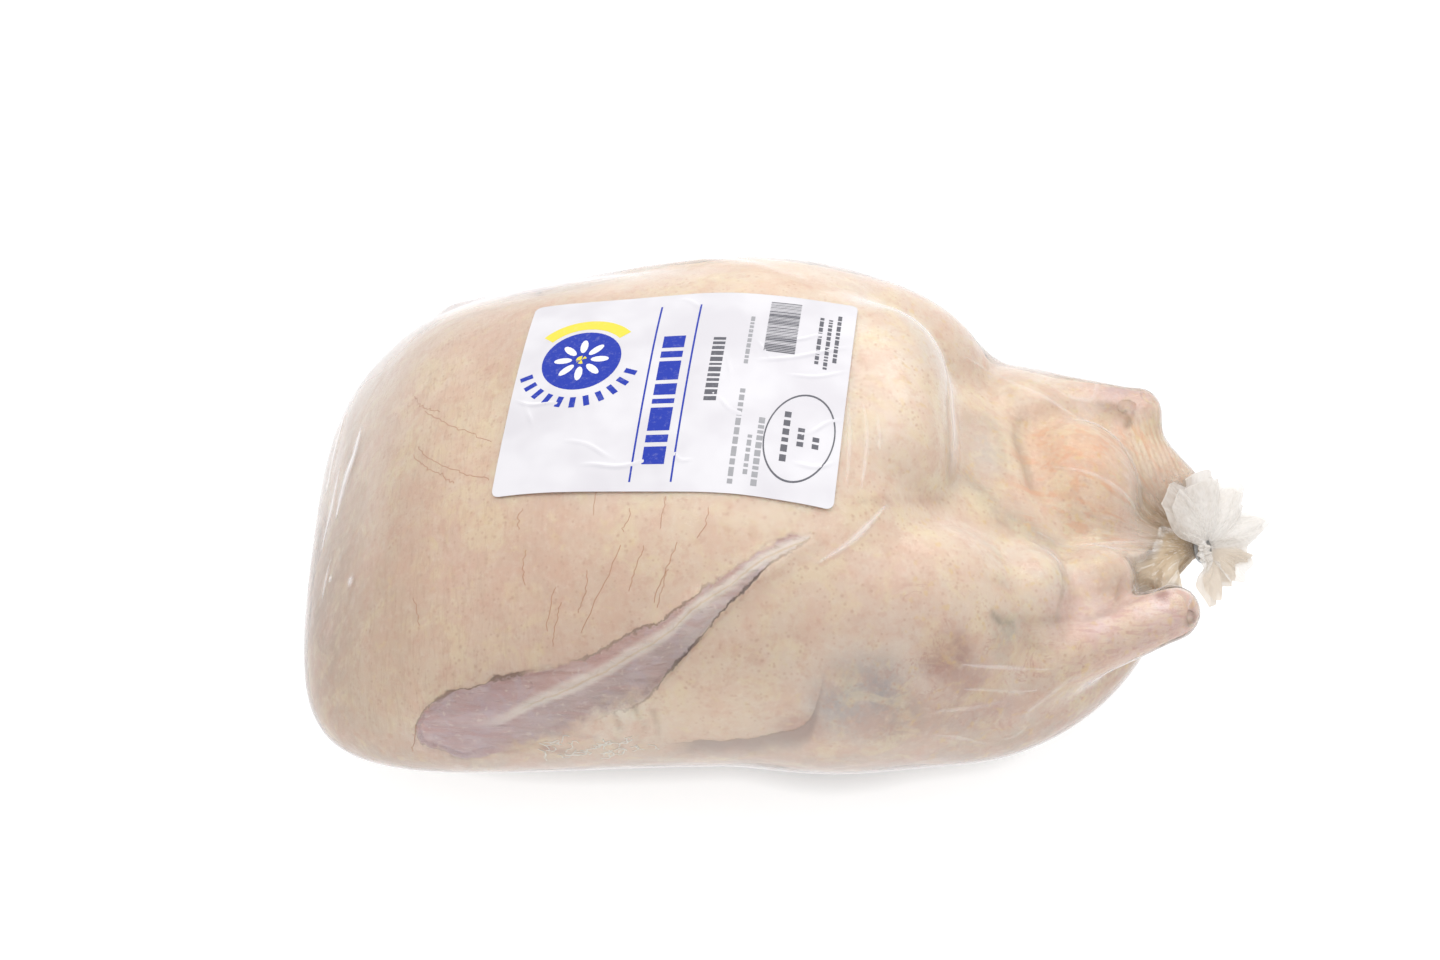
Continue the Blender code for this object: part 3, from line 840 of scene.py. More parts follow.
# Strokes: a line in millimetres, half width in millimetres, colour and strength. Many paint shade in
# hollows, creases and folds, and two paint highlights on the shanks
STROKES = (
    # Painted shade beside the breast's edge, in the valley behind it, and in the creases, folds and gap
    # round the vent, lobes, knee, shanks and tail
    (((61, 44, 110), (61, 20, 113), (62, -1, 115), (62, -16, 113)), 4.0, SHADE, 0.4),
    (VALLEY_FOOT, 6.0, SHADE, 0.75),
    (VENT_RIM, 3.0, (0.55, 0.44, 0.32), 0.5),
    (((93, 30, 93), (88, 40, 93), (78, 47, 97)), 3.0, SHADE, 0.3),
    (LOBE_CLEFT, 1.6, (0.58, 0.45, 0.34), 0.55),
    (LOBE_BACK, 2.4, (0.66, 0.46, 0.38), 0.6),
    (KNEE_FOLD, 2.4, (0.56, 0.48, 0.38), 0.45),
    (SHANK_FOLD, 1.6, (0.6, 0.42, 0.36), 0.6),
    (((72, -73, 106), (76, -75, 103), (82, -73, 100), (84, -76, 97)), 1.8, GAP_SHADE, 0.65),
    (((79, -76, 101), (84, -79, 97), (85, -84, 92)), 3.0, GREEN_SHADE, 0.6),
    (TAIL_ROOT, 1.6, (0.52, 0.37, 0.26), 0.75),
    (FAR_SHANK_FOLD, 1.8, (0.55, 0.44, 0.36), 0.5),
    (((97, 9, 94), (107, 2, 97), (119, -2, 95), (131, -2, 87)), 1.2, (0.88, 0.5, 0.29), 0.45),
    (((92, -7, 94), (103, -8, 92), (118, -12, 90), (136, -8, 76)), 1.2, (0.86, 0.48, 0.29), 0.5),
    (((95, 5, 95), (106, -3, 96), (119, -7, 93)), 0.9, (0.88, 0.5, 0.3), 0.35),
    (((79, -15, 101), (91, -15, 95), (103, -14, 89), (118, -15, 87)), 1.0, (0.62, 0.45, 0.38), 0.45),
    (((83, -39, 101), (97, -37, 95), (112, -36, 92)), 1.4, (0.7, 0.56, 0.38), 0.35),
    # Painted shade in the crease under the breast and along the thigh's fold
    (CLIFF_FOOT, 1.3, (0.66, 0.42, 0.34), 0.45),
    (THIGH_FOLD, 2.6, SHADE, 0.25),
    (((-113, -104, 66), (-100, -105, 68), (-88, -105, 65)), 1.5, (0.42, 0.22, 0.18), 0.85),
    (((-104, -105, 62), (-92, -105, 64), (-80, -105, 60)), 1.3, (0.46, 0.25, 0.19), 0.8),
    (((-96, -104, 73), (-84, -104, 74), (-72, -104, 71)), 1.6, (0.52, 0.47, 0.45), 0.55),
    # Painted shade in the upright folds of membrane below the wing
    (((-58, -101, 92), (-54, -103, 80), (-55, -104, 66)), 1.2, (0.52, 0.41, 0.31), 0.75),
    (((-65, -101, 90), (-62, -103, 79), (-63, -104, 66)), 1.0, (0.54, 0.43, 0.33), 0.65),
    (((-50, -102, 86), (-48, -104, 76), (-49, -104, 66)), 1.0, (0.54, 0.43, 0.33), 0.6),
    (((-138, -102, 72), (-134, -103, 80), (-127, -103, 88)), 0.8, (0.3, 0.2, 0.16), 0.5),
    (((112, 51, 92), (126, 50, 92), (140, 49, 89)), 4.0, (0.7, 0.55, 0.57), 0.85),
    # A painted highlight on the far shank's end
    (((122, 43, 91), (131, 43, 91)), 1.8, (0.94, 0.8, 0.79), 0.9),
    (((143, -48, 89), (148, -55, 88), (151, -63, 83)), 0.7, (0.62, 0.43, 0.38), 0.6),
    (((139, -48, 91), (144, -56, 91), (147, -66, 84)), 0.7, (0.64, 0.45, 0.4), 0.5),
    (((134, -50, 91), (139, -58, 91), (142, -68, 84)), 0.6, (0.66, 0.47, 0.42), 0.4),
    (((138, -46, 88), (143, -47, 87), (148, -50, 86)), 1.2, (0.95, 0.86, 0.8), 0.8),
    # A painted highlight along the top of the near shank
    (((86, -72, 97), (104, -68, 90), (122, -62, 90), (136, -58, 89)), 2.6, (0.93, 0.78, 0.76), 0.8),
    (((84, -80, 88), (104, -78, 84), (126, -71, 81), (140, -64, 78)), 3.4, (0.7, 0.53, 0.46), 0.45),
)


def wing_tones(points):
    """The colour of the wing's bare muscle: violet to the left, rose above its ridge."""
    x, off = points[:, 0], from_ridge(points)
    tones = np.tile(WING_VIOLET, (len(points), 1))
    right = ramp(x, -0.108, -0.08)[:, None]
    above = ramp(off, 0.001, -0.0015)[:, None]
    tones = tones + right * (np.array(WING_GREY) + above * (np.array(WING_ROSE) - WING_GREY) - tones)
    blue = zone(points * (1, 0, 0), (-0.03, 0, 0), (0.014, 1, 1)) * ramp(off, 0.0005, 0.002)
    tones = tones + 0.8 * blue[:, None] * (np.array(WING_BLUE) - tones)
    blotch = 0.45 * np.clip(waves(points, 0.009, 25), 0, 1)[:, None]
    return tones + blotch * (np.array(WING_ROSE) - tones)


def skin_tones(points):
    tones = np.tile(CREAM, (len(points), 1))

    def paint(mask, color):
        nonlocal tones
        tones = tones + np.clip(mask, 0, 1)[:, None] * (np.array(color) - tones)

    for centre, half, color, strength in WIDE_SPOTS:
        paint(strength * zone(points, centre, half), color)
    # Painted shade: darker towards the bottom all round
    paint(0.8 * (1 - ramp(points[:, 2], 0.03, 0.09)), LOW_SIDE_SHADE)
    uneven = 1 + 0.22 * waves(points, 0.012, 21)
    for centre, half, color, strength in SMALL_SPOTS:
        paint(strength * uneven * zone(points, centre, half), color)
    paint(0.22 * np.clip(waves(points, 0.022, 22), 0, 1), PINK)
    paint(0.25 * np.clip(waves(points, 0.035, 23), 0, 1), CREAM)
    bend = 0.0006 * waves(points, 0.008, 24)
    for line, half, color, strength in STROKES:
        off = line_distance(points, line) + bend
        paint(strength * np.exp(-((1000 * off / half) ** 2)), color)
    tail = zone(points, (0.148, 0.022, 0.08), (0.02, 0.022, 0.02))
    paint(0.7 * tail, (0.84, 0.7, 0.51))
    stripes = np.sin(2 * np.pi * (points[:, 0] + 0.26 * points[:, 1]) / TAIL_STRIPE + 0.4)
    paint(0.6 * tail * ramp(stripes, -0.2, 1.0), (0.56, 0.36, 0.21))
    # More painted shade low on the near side
    paint(0.55 * (1 - ramp(points[:, 2], 0.022, 0.07)) * (points[:, 1] < 0), LOW_SIDE_SHADE)
    return np.clip(tones, 0, 1)


# %% Tones, grooves and edges kept at the vertices
GROOVE_DEPTH = 0.0014
cuts = crease_relief(places) + np.clip(wing_relief(places) - WING_DROP, 0, 1)
keep_values(skin, "tone", skin_tones(places))
keep_values(skin, "wing", wing_tones(places))
keep_values(skin, "groove", np.clip(cuts / GROOVE_DEPTH, 0, 1))
keep_values(skin, "edge", edge_share(places))

# %% [markdown]
# ### The skin's material
#
# The two edges of the wing are Float Curve nodes that hold the same points as above, so the
# colour's edge follows the groove at any size. Noise makes it ragged. Everything reads Object
# coordinates, so the pattern stays put from every side.

# %% Small helpers for node trees
def material_tree(name):
    material = bpy.data.materials.new(name)
    material.use_nodes = True
    nodes = material.node_tree.nodes
    return material, material.node_tree, nodes["Principled BSDF"], nodes["Material Output"]


def plug(tree, socket, value):
    """Links another node's socket to this one, or sets it to a number or a colour."""
    if isinstance(value, bpy.types.NodeSocket):
        tree.links.new(value, socket)
    else:
        socket.default_value = value


def set_inputs(tree, made, **inputs):
    """Sets a node's inputs by name, or by place as i0, i1 and so on."""
    for key, value in inputs.items():
        by_place = key[0] == "i" and key[1:].isdigit()
        plug(tree, made.inputs[int(key[1:]) if by_place else key.replace("_", " ")], value)


def node(tree, kind, settings=None, **inputs):
    made = tree.nodes.new(kind)
    for key, value in (settings or {}).items():
        setattr(made, key, value)
    set_inputs(tree, made, **inputs)
    return made


def math_node(tree, operation, *values):
    made = node(tree, "ShaderNodeMath", {"operation": operation})
    for socket, value in zip(made.inputs, values):
        plug(tree, socket, value)
    return made.outputs[0]


def times(tree, first, second):
    return math_node(tree, "MULTIPLY", first, second)


def vector_math(tree, operation, *vectors):
    made = node(tree, "ShaderNodeVectorMath", {"operation": operation})
    for socket, vector in zip(made.inputs, vectors):
        plug(tree, socket, vector)
    return made.outputs


def stretched(tree, place, shares):
    """Coordinates that grow slowly where a share is small, which draws a pattern out."""
    return vector_math(tree, "MULTIPLY", place, shares)[0]


def kept(tree, name, output="Fac"):
    """A value or colour that was kept at the vertices."""
    return node(tree, "ShaderNodeAttribute", {"attribute_name": name}).outputs[output]


def map_range(tree, value, low, high, new_low=0.0, new_high=1.0, smooth_step=True):
    kind = "SMOOTHSTEP" if smooth_step else "LINEAR"
    made = node(tree, "ShaderNodeMapRange", {"interpolation_type": kind}, i0=value)
    for index, number in enumerate((low, high, new_low, new_high), 1):
        made.inputs[index].default_value = number
    return made.outputs[0]


def mix_color(tree, factor, first, second):
    """Two colours mixed. Each is a socket, or red, green and blue."""
    made = node(tree, "ShaderNodeMix", {"data_type": "RGBA"}, i0=factor)
    for index, color in ((6, first), (7, second)):
        plug(tree, made.inputs[index], (*color, 1) if isinstance(color, tuple) else color)
    return made.outputs[2]


def tinted(tree, tone, mask, strength, color):
    """The tone with some of a colour where the mask is."""
    return mix_color(tree, times(tree, mask, strength), tone, color)


def noise(tree, vector, size, detail=2.0, roughness=0.5, distortion=0.0):
    """Noise with bumps of about size metres, from 0 to 1."""
    made = node(
        tree, "ShaderNodeTexNoise", None, Vector=vector, Scale=1 / size, Detail=detail,
        Roughness=roughness, Distortion=distortion,
    )
    return made.outputs["Fac"]


def own_place(tree):
    """Object coordinates turned back into the bird's own."""
    place = node(tree, "ShaderNodeTexCoord").outputs["Object"]
    return vector_math(tree, "SUBTRACT", place, tuple(SHIFT))[0]


def bump(tree, height, distance, strength=1.0, normal=None):
    made = node(tree, "ShaderNodeBump", None, Height=height, Distance=distance, Strength=strength)
    if normal:
        tree.links.new(normal, made.inputs["Normal"])
    return made.outputs[0]


# %% Wing edges in the material
CURVE_X = (-0.14, 0.012)
CURVE_ANGLES = (35.0, 105.0)


def float_curve(tree, x, line):
    """The line's angle at x, as a Float Curve node."""
    share = map_range(tree, x, *CURVE_X, smooth_step=False)
    made = node(tree, "ShaderNodeFloatCurve", None, Factor=1.0, Value=share)
    curve = made.mapping.curves[0]
    low, high = CURVE_ANGLES
    for index, (place, angle) in enumerate(line):
        at = (place / 1000 - CURVE_X[0]) / (CURVE_X[1] - CURVE_X[0])
        level = (angle - low) / (high - low)
        if index < 2:
            curve.points[index].location = (at, level)
        else:
            curve.points.new(at, level)
    for point in curve.points:
        point.handle_type = "AUTO_CLAMPED"
    made.mapping.update()
    return map_range(tree, made.outputs[0], 0, 1, low, high, smooth_step=False)


# %% The bare muscle of the wing, and its ragged edges
skin_material, tree, shader, _ = material_tree("raw skin")
place = own_place(tree)
xyz = node(tree, "ShaderNodeSeparateXYZ", None, i0=place).outputs
side = math_node(tree, "ABSOLUTE", xyz[1])
rise = math_node(tree, "SUBTRACT", xyz[2], AXIS_HEIGHT)
angle = math_node(tree, "DEGREES", math_node(tree, "ARCTAN2", side, rise))
far_side = map_range(tree, xyz[1], -0.001, 0.001)
angle = math_node(tree, "MULTIPLY_ADD", far_side, -FAR_SIDE_DROP, angle)
ragged = math_node(tree, "SUBTRACT", noise(tree, place, 0.0045, 4.0, 0.65), 0.5)
ragged_angle = math_node(tree, "MULTIPLY_ADD", ragged, 3.2, angle)
from_upper = math_node(tree, "SUBTRACT", ragged_angle, float_curve(tree, xyz[0], WING_UPPER))
from_lower = math_node(tree, "SUBTRACT", float_curve(tree, xyz[0], WING_LOWER), ragged_angle)
inside = math_node(tree, "MINIMUM", from_upper, from_lower)
tuck = times(tree, far_side, map_range(tree, xyz[0], *FAR_WING_END))
inside = math_node(tree, "MULTIPLY_ADD", tuck, -FAR_WING_TAPER, inside)
in_reach = times(
    tree, map_range(tree, xyz[0], -0.1375, -0.135), map_range(tree, xyz[0], 0.0075, 0.005)
)
wing_mask = times(tree, map_range(tree, inside, -0.1, 0.6), in_reach)
soft_edge = map_range(tree, math_node(tree, "MULTIPLY_ADD", ragged, 16.0, from_lower), -1.0, 5.0)
soft_part = map_range(tree, xyz[0], -0.112, -0.098)
soft_part = times(tree, soft_part, map_range(tree, xyz[0], -0.046, -0.06))
softened = times(tree, wing_mask, soft_edge)
wing_mask = node(
    tree, "ShaderNodeMix", {"data_type": "FLOAT"}, i0=soft_part, i2=wing_mask, i3=softened
).outputs[0]

streaks_at = stretched(tree, place, (0.22, 1.0, 1.0))
streaks = map_range(tree, noise(tree, streaks_at, 0.003, 4.0, 0.65, 0.6), 0.32, 0.7)
muscle = kept(tree, "wing", "Color")
muscle = tinted(tree, muscle, streaks, 0.42, (0.78, 0.67, 0.64))
dark_streak = map_range(tree, noise(tree, streaks_at, 0.0018, 3.0, 0.6, 1.0), 0.4, 0.28)
muscle = tinted(tree, muscle, dark_streak, 0.6, (0.44, 0.27, 0.24))
rosy = map_range(tree, noise(tree, streaks_at, 0.0065, 3.0, 0.6, 0.5), 0.46, 0.62)
muscle = tinted(tree, muscle, rosy, 0.5, (0.6, 0.36, 0.33))
lilac = map_range(tree, noise(tree, place, 0.0085, 3.0, 0.6, 0.9), 0.5, 0.64)
muscle = tinted(tree, muscle, lilac, 0.45, (0.62, 0.51, 0.545))
fatty = map_range(tree, noise(tree, place, 0.0026, 3.0, 0.65, 0.4), 0.58, 0.68)
muscle = tinted(tree, muscle, fatty, 0.5, (0.83, 0.73, 0.65))
from_ridge_line = math_node(
    tree, "SUBTRACT", math_node(tree, "MULTIPLY_ADD", ragged, 1.0, angle),
    float_curve(tree, xyz[0], WING_RIDGE),
)
ridge = map_range(tree, math_node(tree, "ABSOLUTE", from_ridge_line), 2.3, 0.6)
ridge = times(tree, ridge, map_range(tree, xyz[0], -0.118, -0.095))
muscle = tinted(tree, muscle, ridge, 0.85, (0.86, 0.78, 0.7))
vein = map_range(tree, math_node(tree, "ABSOLUTE", from_ridge_line), 0.35, 0.05)
vein = times(tree, vein, map_range(tree, xyz[0], -0.1, -0.09))
muscle = tinted(tree, muscle, vein, 0.45, (0.68, 0.52, 0.31))

# %% The skin's own pattern: mottling, fat flecks, wrinkles and pores
tone = kept(tree, "tone", "Color")
mottle = map_range(tree, noise(tree, place, 0.011, 5.0, 0.6), 0.38, 0.7)
tone = tinted(tree, tone, mottle, 0.42, (0.77, 0.51, 0.39))
flecked = map_range(tree, xyz[0], 0.03, 0.045)
flecked = times(tree, flecked, map_range(tree, noise(tree, place, 0.0042, 3.0), 0.6, 0.7))
butter = map_range(tree, noise(tree, place, 0.014, 4.0, 0.6, 0.7), 0.48, 0.66)
tone = tinted(tree, tone, butter, 0.42, (0.87, 0.77, 0.53))
blotch = map_range(tree, noise(tree, place, 0.005, 4.0, 0.65), 0.5, 0.68)
tone = tinted(tree, tone, blotch, 0.34, (0.69, 0.43, 0.32))
pale = map_range(tree, noise(tree, place, 0.0032, 4.0, 0.7), 0.46, 0.75)
tone = tinted(tree, tone, pale, 0.3, (0.93, 0.85, 0.74))
fat_fleck = map_range(tree, noise(tree, place, 0.006, 3.0, 0.6, 0.5), 0.6, 0.72)
tone = tinted(tree, tone, fat_fleck, 0.35, (0.82, 0.69, 0.43))
tone = tinted(tree, tone, flecked, 0.45, (0.79, 0.6, 0.28))
wrinkles_at = stretched(tree, place, (1.0, 0.16, 0.16))
wrinkles = noise(tree, wrinkles_at, 0.0011, 3.0, 0.55, 0.9)
wrinkle_zone = map_range(tree, xyz[0], -0.04, -0.14, 0.04, 0.3)
wrinkle_line = map_range(tree, wrinkles, 0.5, 0.36)
tone = mix_color(tree, times(tree, wrinkle_line, wrinkle_zone), tone, (0.64, 0.45, 0.33))
for spacing, reach, low, strength in ((0.0034, 0.3, 0.34, 0.5), (0.0023, 0.32, 0.34, 0.5)):
    pore = node(tree, "ShaderNodeTexVoronoi", None, Vector=place, Scale=1 / spacing, Randomness=0.8)
    pore_mask = times(
        tree, map_range(tree, pore.outputs["Distance"], reach, 0.03),
        map_range(tree, noise(tree, place, 4.1 * spacing, 3.0), low, low + 0.26),
    )
    tone = tinted(tree, tone, pore_mask, strength, (0.61, 0.39, 0.27))
to_gather = vector_math(tree, "SUBTRACT", place, GATHER)[0]
fan_away = vector_math(tree, "LENGTH", to_gather)["Value"]
fan_at = vector_math(tree, "NORMALIZE", to_gather)[0]
fan = map_range(tree, noise(tree, fan_at, 0.055, 2.0, 0.6), 0.52, 0.64)
fan = times(tree, fan, map_range(tree, fan_away, 0.105, 0.075))
fan = times(tree, fan, map_range(tree, xyz[1], -0.034, -0.014))
fan = times(tree, fan, map_range(tree, xyz[0], 0.076, 0.094))
fan = times(tree, fan, map_range(tree, xyz[1], 0.038, 0.028))
tone = tinted(tree, tone, fan, 0.42, (0.8, 0.43, 0.24))
grain_at = stretched(tree, place, (0.18, 1.0, 1.0))
tendon = map_range(tree, noise(tree, grain_at, 0.0016, 3.0, 0.6, 0.7), 0.5, 0.36)
tendon = times(tree, tendon, map_range(tree, xyz[0], 0.088, 0.108))
tendon = times(tree, tendon, map_range(tree, xyz[1], -0.05, -0.06))
tone = tinted(tree, tone, tendon, 0.45, (0.66, 0.42, 0.38))
vein = noise(tree, place, 0.013, 4.0, 0.65, 1.2)
vein = map_range(tree, math_node(tree, "ABSOLUTE", math_node(tree, "SUBTRACT", vein, 0.5)), 0.02, 0.004)
vein = times(tree, vein, map_range(tree, xyz[0], 0.02, 0.045))
vein = times(tree, vein, map_range(tree, xyz[1], -0.06, -0.08))
vein = times(tree, vein, map_range(tree, noise(tree, place, 0.012, 2.0), 0.42, 0.58))
tone = tinted(tree, tone, vein, 0.42, (0.56, 0.29, 0.23))
# Painted shade in the grooves and creases, darker where they are deeper
groove_shade = kept(tree, "groove")
tone = tinted(tree, tone, groove_shade, 0.35, (0.42, 0.29, 0.21))
tone = mix_color(tree, wing_mask, tone, muscle)

# %% Painted shade along the edges of wing and flap, drawn over the pattern
edge_strength = kept(tree, "edge")
edge_width = map_range(tree, noise(tree, place, 0.007, 3.0, 0.6), 0.32, 0.68, 0.25, 1.0)
edge_width = times(tree, edge_width, map_range(tree, edge_strength, 0.0, 1.0, 0.5, 1.0))
edge = map_range(
    tree, math_node(tree, "DIVIDE", math_node(tree, "ABSOLUTE", inside), edge_width), 1.0, 0.3
)
edge = times(tree, times(tree, edge, in_reach), edge_strength)
# Painted shade in the crevices along the wing's edges, darkest on its lower side next to the flap, where
# the wing's shadow falls
lower_side = map_range(tree, from_ridge_line, -1.0, 3.0)
deep = times(tree, lower_side, map_range(tree, xyz[0], -0.058, -0.04))
crevice_shade_tone = mix_color(tree, deep, (0.3, 0.19, 0.14), (0.15, 0.095, 0.085))
tone = mix_color(tree, times(tree, edge, 0.85), tone, crevice_shade_tone)
flap_in_reach = times(
    tree, map_range(tree, xyz[0], -0.048, -0.032), map_range(tree, xyz[0], 0.012, 0.007)
)
below_flap = math_node(
    tree, "SUBTRACT", math_node(tree, "MULTIPLY_ADD", ragged, 1.2, angle),
    float_curve(tree, xyz[0], FLAP_EDGE),
)
# Painted shade: a dark line in the crease along the flap's lower edge, and a painted shadow on the skin
# just below it
flap_crease_shade = map_range(tree, math_node(tree, "ABSOLUTE", below_flap), 0.7, 0.1)
flap_crease_shade = times(tree, flap_crease_shade, flap_in_reach)
shadow_under_flap = times(
    tree, map_range(tree, below_flap, 0.0, 0.6), map_range(tree, below_flap, 9.0, 3.0)
)
shadow_under_flap = times(tree, shadow_under_flap, flap_in_reach)
tone = tinted(tree, tone, shadow_under_flap, 0.8, (0.44, 0.34, 0.3))
tone = tinted(tree, tone, flap_crease_shade, 0.55, (0.33, 0.22, 0.175))
set_inputs(tree, shader, Base_Color=tone)

# %% The skin's fine relief and sheen
grain = bump(tree, noise(tree, place, 0.0011, 3.0, 0.6), 0.0001)
normal = bump(tree, times(tree, wrinkles, wrinkle_zone), 0.0006, 1.0, grain)
normal = bump(tree, times(tree, streaks, wing_mask), 0.0004, 1.0, normal)
wet = map_range(tree, noise(tree, place, 0.006, 3.0), 0.3, 0.7, 0.38, 0.55)
set_inputs(
    tree, shader, Normal=normal, Roughness=wet, Subsurface_Weight=0.18, Subsurface_Scale=0.006,
    Subsurface_Radius=(1.0, 0.45, 0.28), Specular_IOR_Level=0.35,
)
skin.data.materials.append(skin_material)
print("skin material:", len(tree.nodes), "nodes")

# %% [markdown]
# ## The film
#
# The film is one closed skin of air-thin plastic, so it is drawn as a surface without a wall.
# It is finer towards the gathered neck, where it draws into pleats. A pleat keeps its direction
# as seen from the gather, so one uneven value for each direction gives ridges that all run to
# the clip.

# %% Welts where the film doubles on itself: places, half width and height in mm, and milkiness, which is partly the doubled film's own and partly painted highlight
WELTS = (
    # Painted highlights: the glinting fold between breast and thigh, and three streaks beside the label
    (((34, -43, 132), (27, -53, 133), (20, -61, 133), (8, -69, 131)), 1.2, 0.3, 0.42),
    (((20, -4, 145), (21, -22, 143), (19, -42, 139)), 0.8, 0.18, 0.16),
    (((26, -5, 144), (27, -23, 140), (24, -43, 137)), 0.9, 0.2, 0.2),
    (((31, -9, 143), (32, -24, 139)), 0.8, 0.15, 0.14),
    (((-179, 58, 59), (-181, 39, 60), (-182, 19, 60)), 1.8, 0.18, 0.5),
    (((-169, 25, 78), (-172, 13, 74), (-175, -4, 71)), 2.2, 0.2, 0.6),
    (((-168, 35, 79), (-170, 16, 77)), 1.8, 0.15, 0.5),
    (((-176, 24, 68), (-178, 4, 66), (-180, -12, 62)), 1.5, 0.15, 0.45),
    (((-175, -23, 70), (-177, -38, 65)), 1.3, 0.15, 0.26),
    # The next four: painted highlights along fine folds low on the near flank
    (((50, -100, 83), (61, -97, 80), (70, -93, 77), (80, -91, 77)), 1.1, 0.12, 0.14),
    (((78, -95, 56), (83, -93, 56), (87, -91, 59)), 0.9, 0.12, 0.12),
    (((84, -92, 66), (90, -89, 70), (95, -86, 72), (102, -82, 76), (114, -77, 77)), 1.1, 0.14, 0.14),
    (((52, -101, 70), (62, -99, 64), (74, -96, 54)), 0.9, 0.12, 0.12),
    (((60, -90, 99), (78, -86, 90), (94, -81, 82)), 0.8, 0.12, 0.24),
    (((59, -94, 90), (76, -91, 82), (91, -86, 76)), 0.7, 0.1, 0.18),
    (((68, 50, 106), (81, 52, 94), (92, 42, 96), (107, 37, 91), (117, 34, 87)), 1.1, 0.18, 0.22),
    (((113, 52, 88), (123, 51, 88), (120, 42, 88), (108, 44, 91), (100, 47, 94)), 0.9, 0.15, 0.16),
    (((156, -13, 62), (152, -29, 71), (148, -45, 81), (146, -58, 88)), 0.9, 0.2, 0.5),
    (((153, -12, 64), (147, -27, 75), (140, -41, 85), (133, -52, 90)), 0.8, 0.18, 0.34),
    (((158, -15, 60), (156, -32, 68), (152, -48, 77), (149, -62, 83)), 0.8, 0.18, 0.44),
    (((150, -10, 66), (134, -6, 84), (116, -1, 95), (98, 4, 94)), 0.9, 0.16, 0.2),
    (((148, -12, 67), (130, -20, 80), (110, -26, 92), (92, -26, 96)), 0.9, 0.16, 0.18),
    (((-174, -31, 70), (-174, -33, 71)), 1.0, 0.2, 0.5),
    (((-164, -41, 83), (-164, -43, 83)), 1.8, 0.25, 0.5),
)


def smooth_line(places, steps):
    """A smooth line of points through places in millimetres."""
    places = 0.001 * np.array(places, float)
    at = np.linspace(0, len(places) - 1, steps)
    first = np.clip(at.astype(int), 0, len(places) - 2)
    share = (at - first)[:, None]
    slopes = np.gradient(places, axis=0)
    return curve_between(share, places[first], places[first + 1], slopes[first], slopes[first + 1])


def welt_share(points, line, half):
    """How much of a welt lies at points: 1 along its line, narrowing to both ends."""
    found = np.zeros(len(points))
    near = np.flatnonzero(np.linalg.norm(points - line.mean(0), axis=1) < 0.06)
    widths = half * (0.15 + 0.85 * np.sin(np.pi * np.linspace(0, 1, len(line))))
    for start, end, first, last in zip(line, line[1:], widths, widths[1:]):
        span = end - start
        share = np.clip(((points[near] - start) @ span) / (span @ span), 0, 1)
        off = np.linalg.norm(points[near] - start - share[:, None] * span, axis=1)
        value = np.exp(-((off / (first + share * (last - first))) ** 2))
        found[near] = np.maximum(found[near], value)
    return found


welt_lines = [settle(smooth_line(places_mm, 13), film_field, 4) for places_mm, *_ in WELTS]

# %% The film's mesh
FILM_CELL = 0.0027
vertices, faces = surface_net(film_field, FILM_CELL)
film = new_piece("bag_film", settle(vertices, film_field), faces)
# Each round makes the film finer within a radius of the gather, and beside each welt
FILM_ROUNDS = ((0.095, 0.005), (0.045, 0.0032))
for radius, margin in FILM_ROUNDS:
    places = points_of(film)
    chosen = np.linalg.norm(places - gather, axis=1) < radius
    for line in welt_lines:
        chosen |= welt_share(places, line, margin) > 0.15
    refine(film, chosen)
    set_points(film, settle(points_of(film), film_field))
print("film:", len(film.data.vertices), "vertices")

# %% Pleats and slack in the film
PLEAT_DEPTH = 0.0018
PLEAT_SLOPE = 0.085
PLEAT_REACH = 0.09


def pleats(points):
    """Ridges that run to the gather, from 0 to 1, and the distance from it."""
    offset = points - gather
    away = np.linalg.norm(offset, axis=1)
    direction = offset / np.maximum(away, 1e-6)[:, None]
    fine = waves(direction, 0.17, 31)
    coarse = waves(direction, 0.45, 32)
    return ramp(0.7 * fine + 0.6 * coarse, -1.0, 1.0), away


places = points_of(film)
ridges, away = pleats(places)
room = np.maximum(skin_field(places) - 0.0003, 0)
deep = np.minimum(PLEAT_DEPTH, PLEAT_SLOPE * away) * (1 - ramp(away, 0.03, PLEAT_REACH))
press = np.minimum(deep * (1 - ridges), room) * ramp(places[:, 2], 0.0, 0.006)
# Along each welt the film is lifted and made milky, partly as doubled film and partly as a painted
# highlight
welt_height, welt_milk_and_highlight = np.zeros(len(places)), np.zeros(len(places))
for line, (_, half, height, milk_and_highlight) in zip(welt_lines, WELTS):
    share = welt_share(places, line, 0.001 * half)
    welt_height = np.maximum(welt_height, 0.001 * height * share)
    welt_milk_and_highlight = np.maximum(welt_milk_and_highlight, milk_and_highlight * share)
set_points(film, places + outwards_at(places, film_field) * (welt_height - press)[:, None])
lift = np.clip(skin_field(places) - (SKIN_INSET - FILM_INSET), 0, 0.02)
near_clip = 1 - ramp(away, 0.028, 0.085)
gathered = 1 - ramp(away, 0.006, 0.05)
veil = 0.34 * ramp(lift, 0.0003, 0.007) + 0.45 * near_clip * ramp(lift, 0.001, 0.007)
veil = np.maximum(veil, welt_milk_and_highlight)
keep_values(film, "veil", np.clip(veil + 0.62 * gathered, 0, 0.9))
keep_values(film, "warmth", near_clip * ramp(lift, 0.0004, 0.003))
keep_values(film, "gathered", gathered)
print("most lift in mm:", round(1000 * lift.max(), 1))

# %% [markdown]
# ### The film's material
#
# Clear film shows by its gloss alone. Where it stands off the skin it turns milky, and where it
# is gathered its many layers look like beige paper. So the shader is mixed from three: clear,
# a mirror whose share rises towards grazing sight, and a white that scatters light. The white's
# share also rises towards grazing sight, as a painted sheen, and near the gather the brown lines
# and dark valleys between the pleats are painted shade.

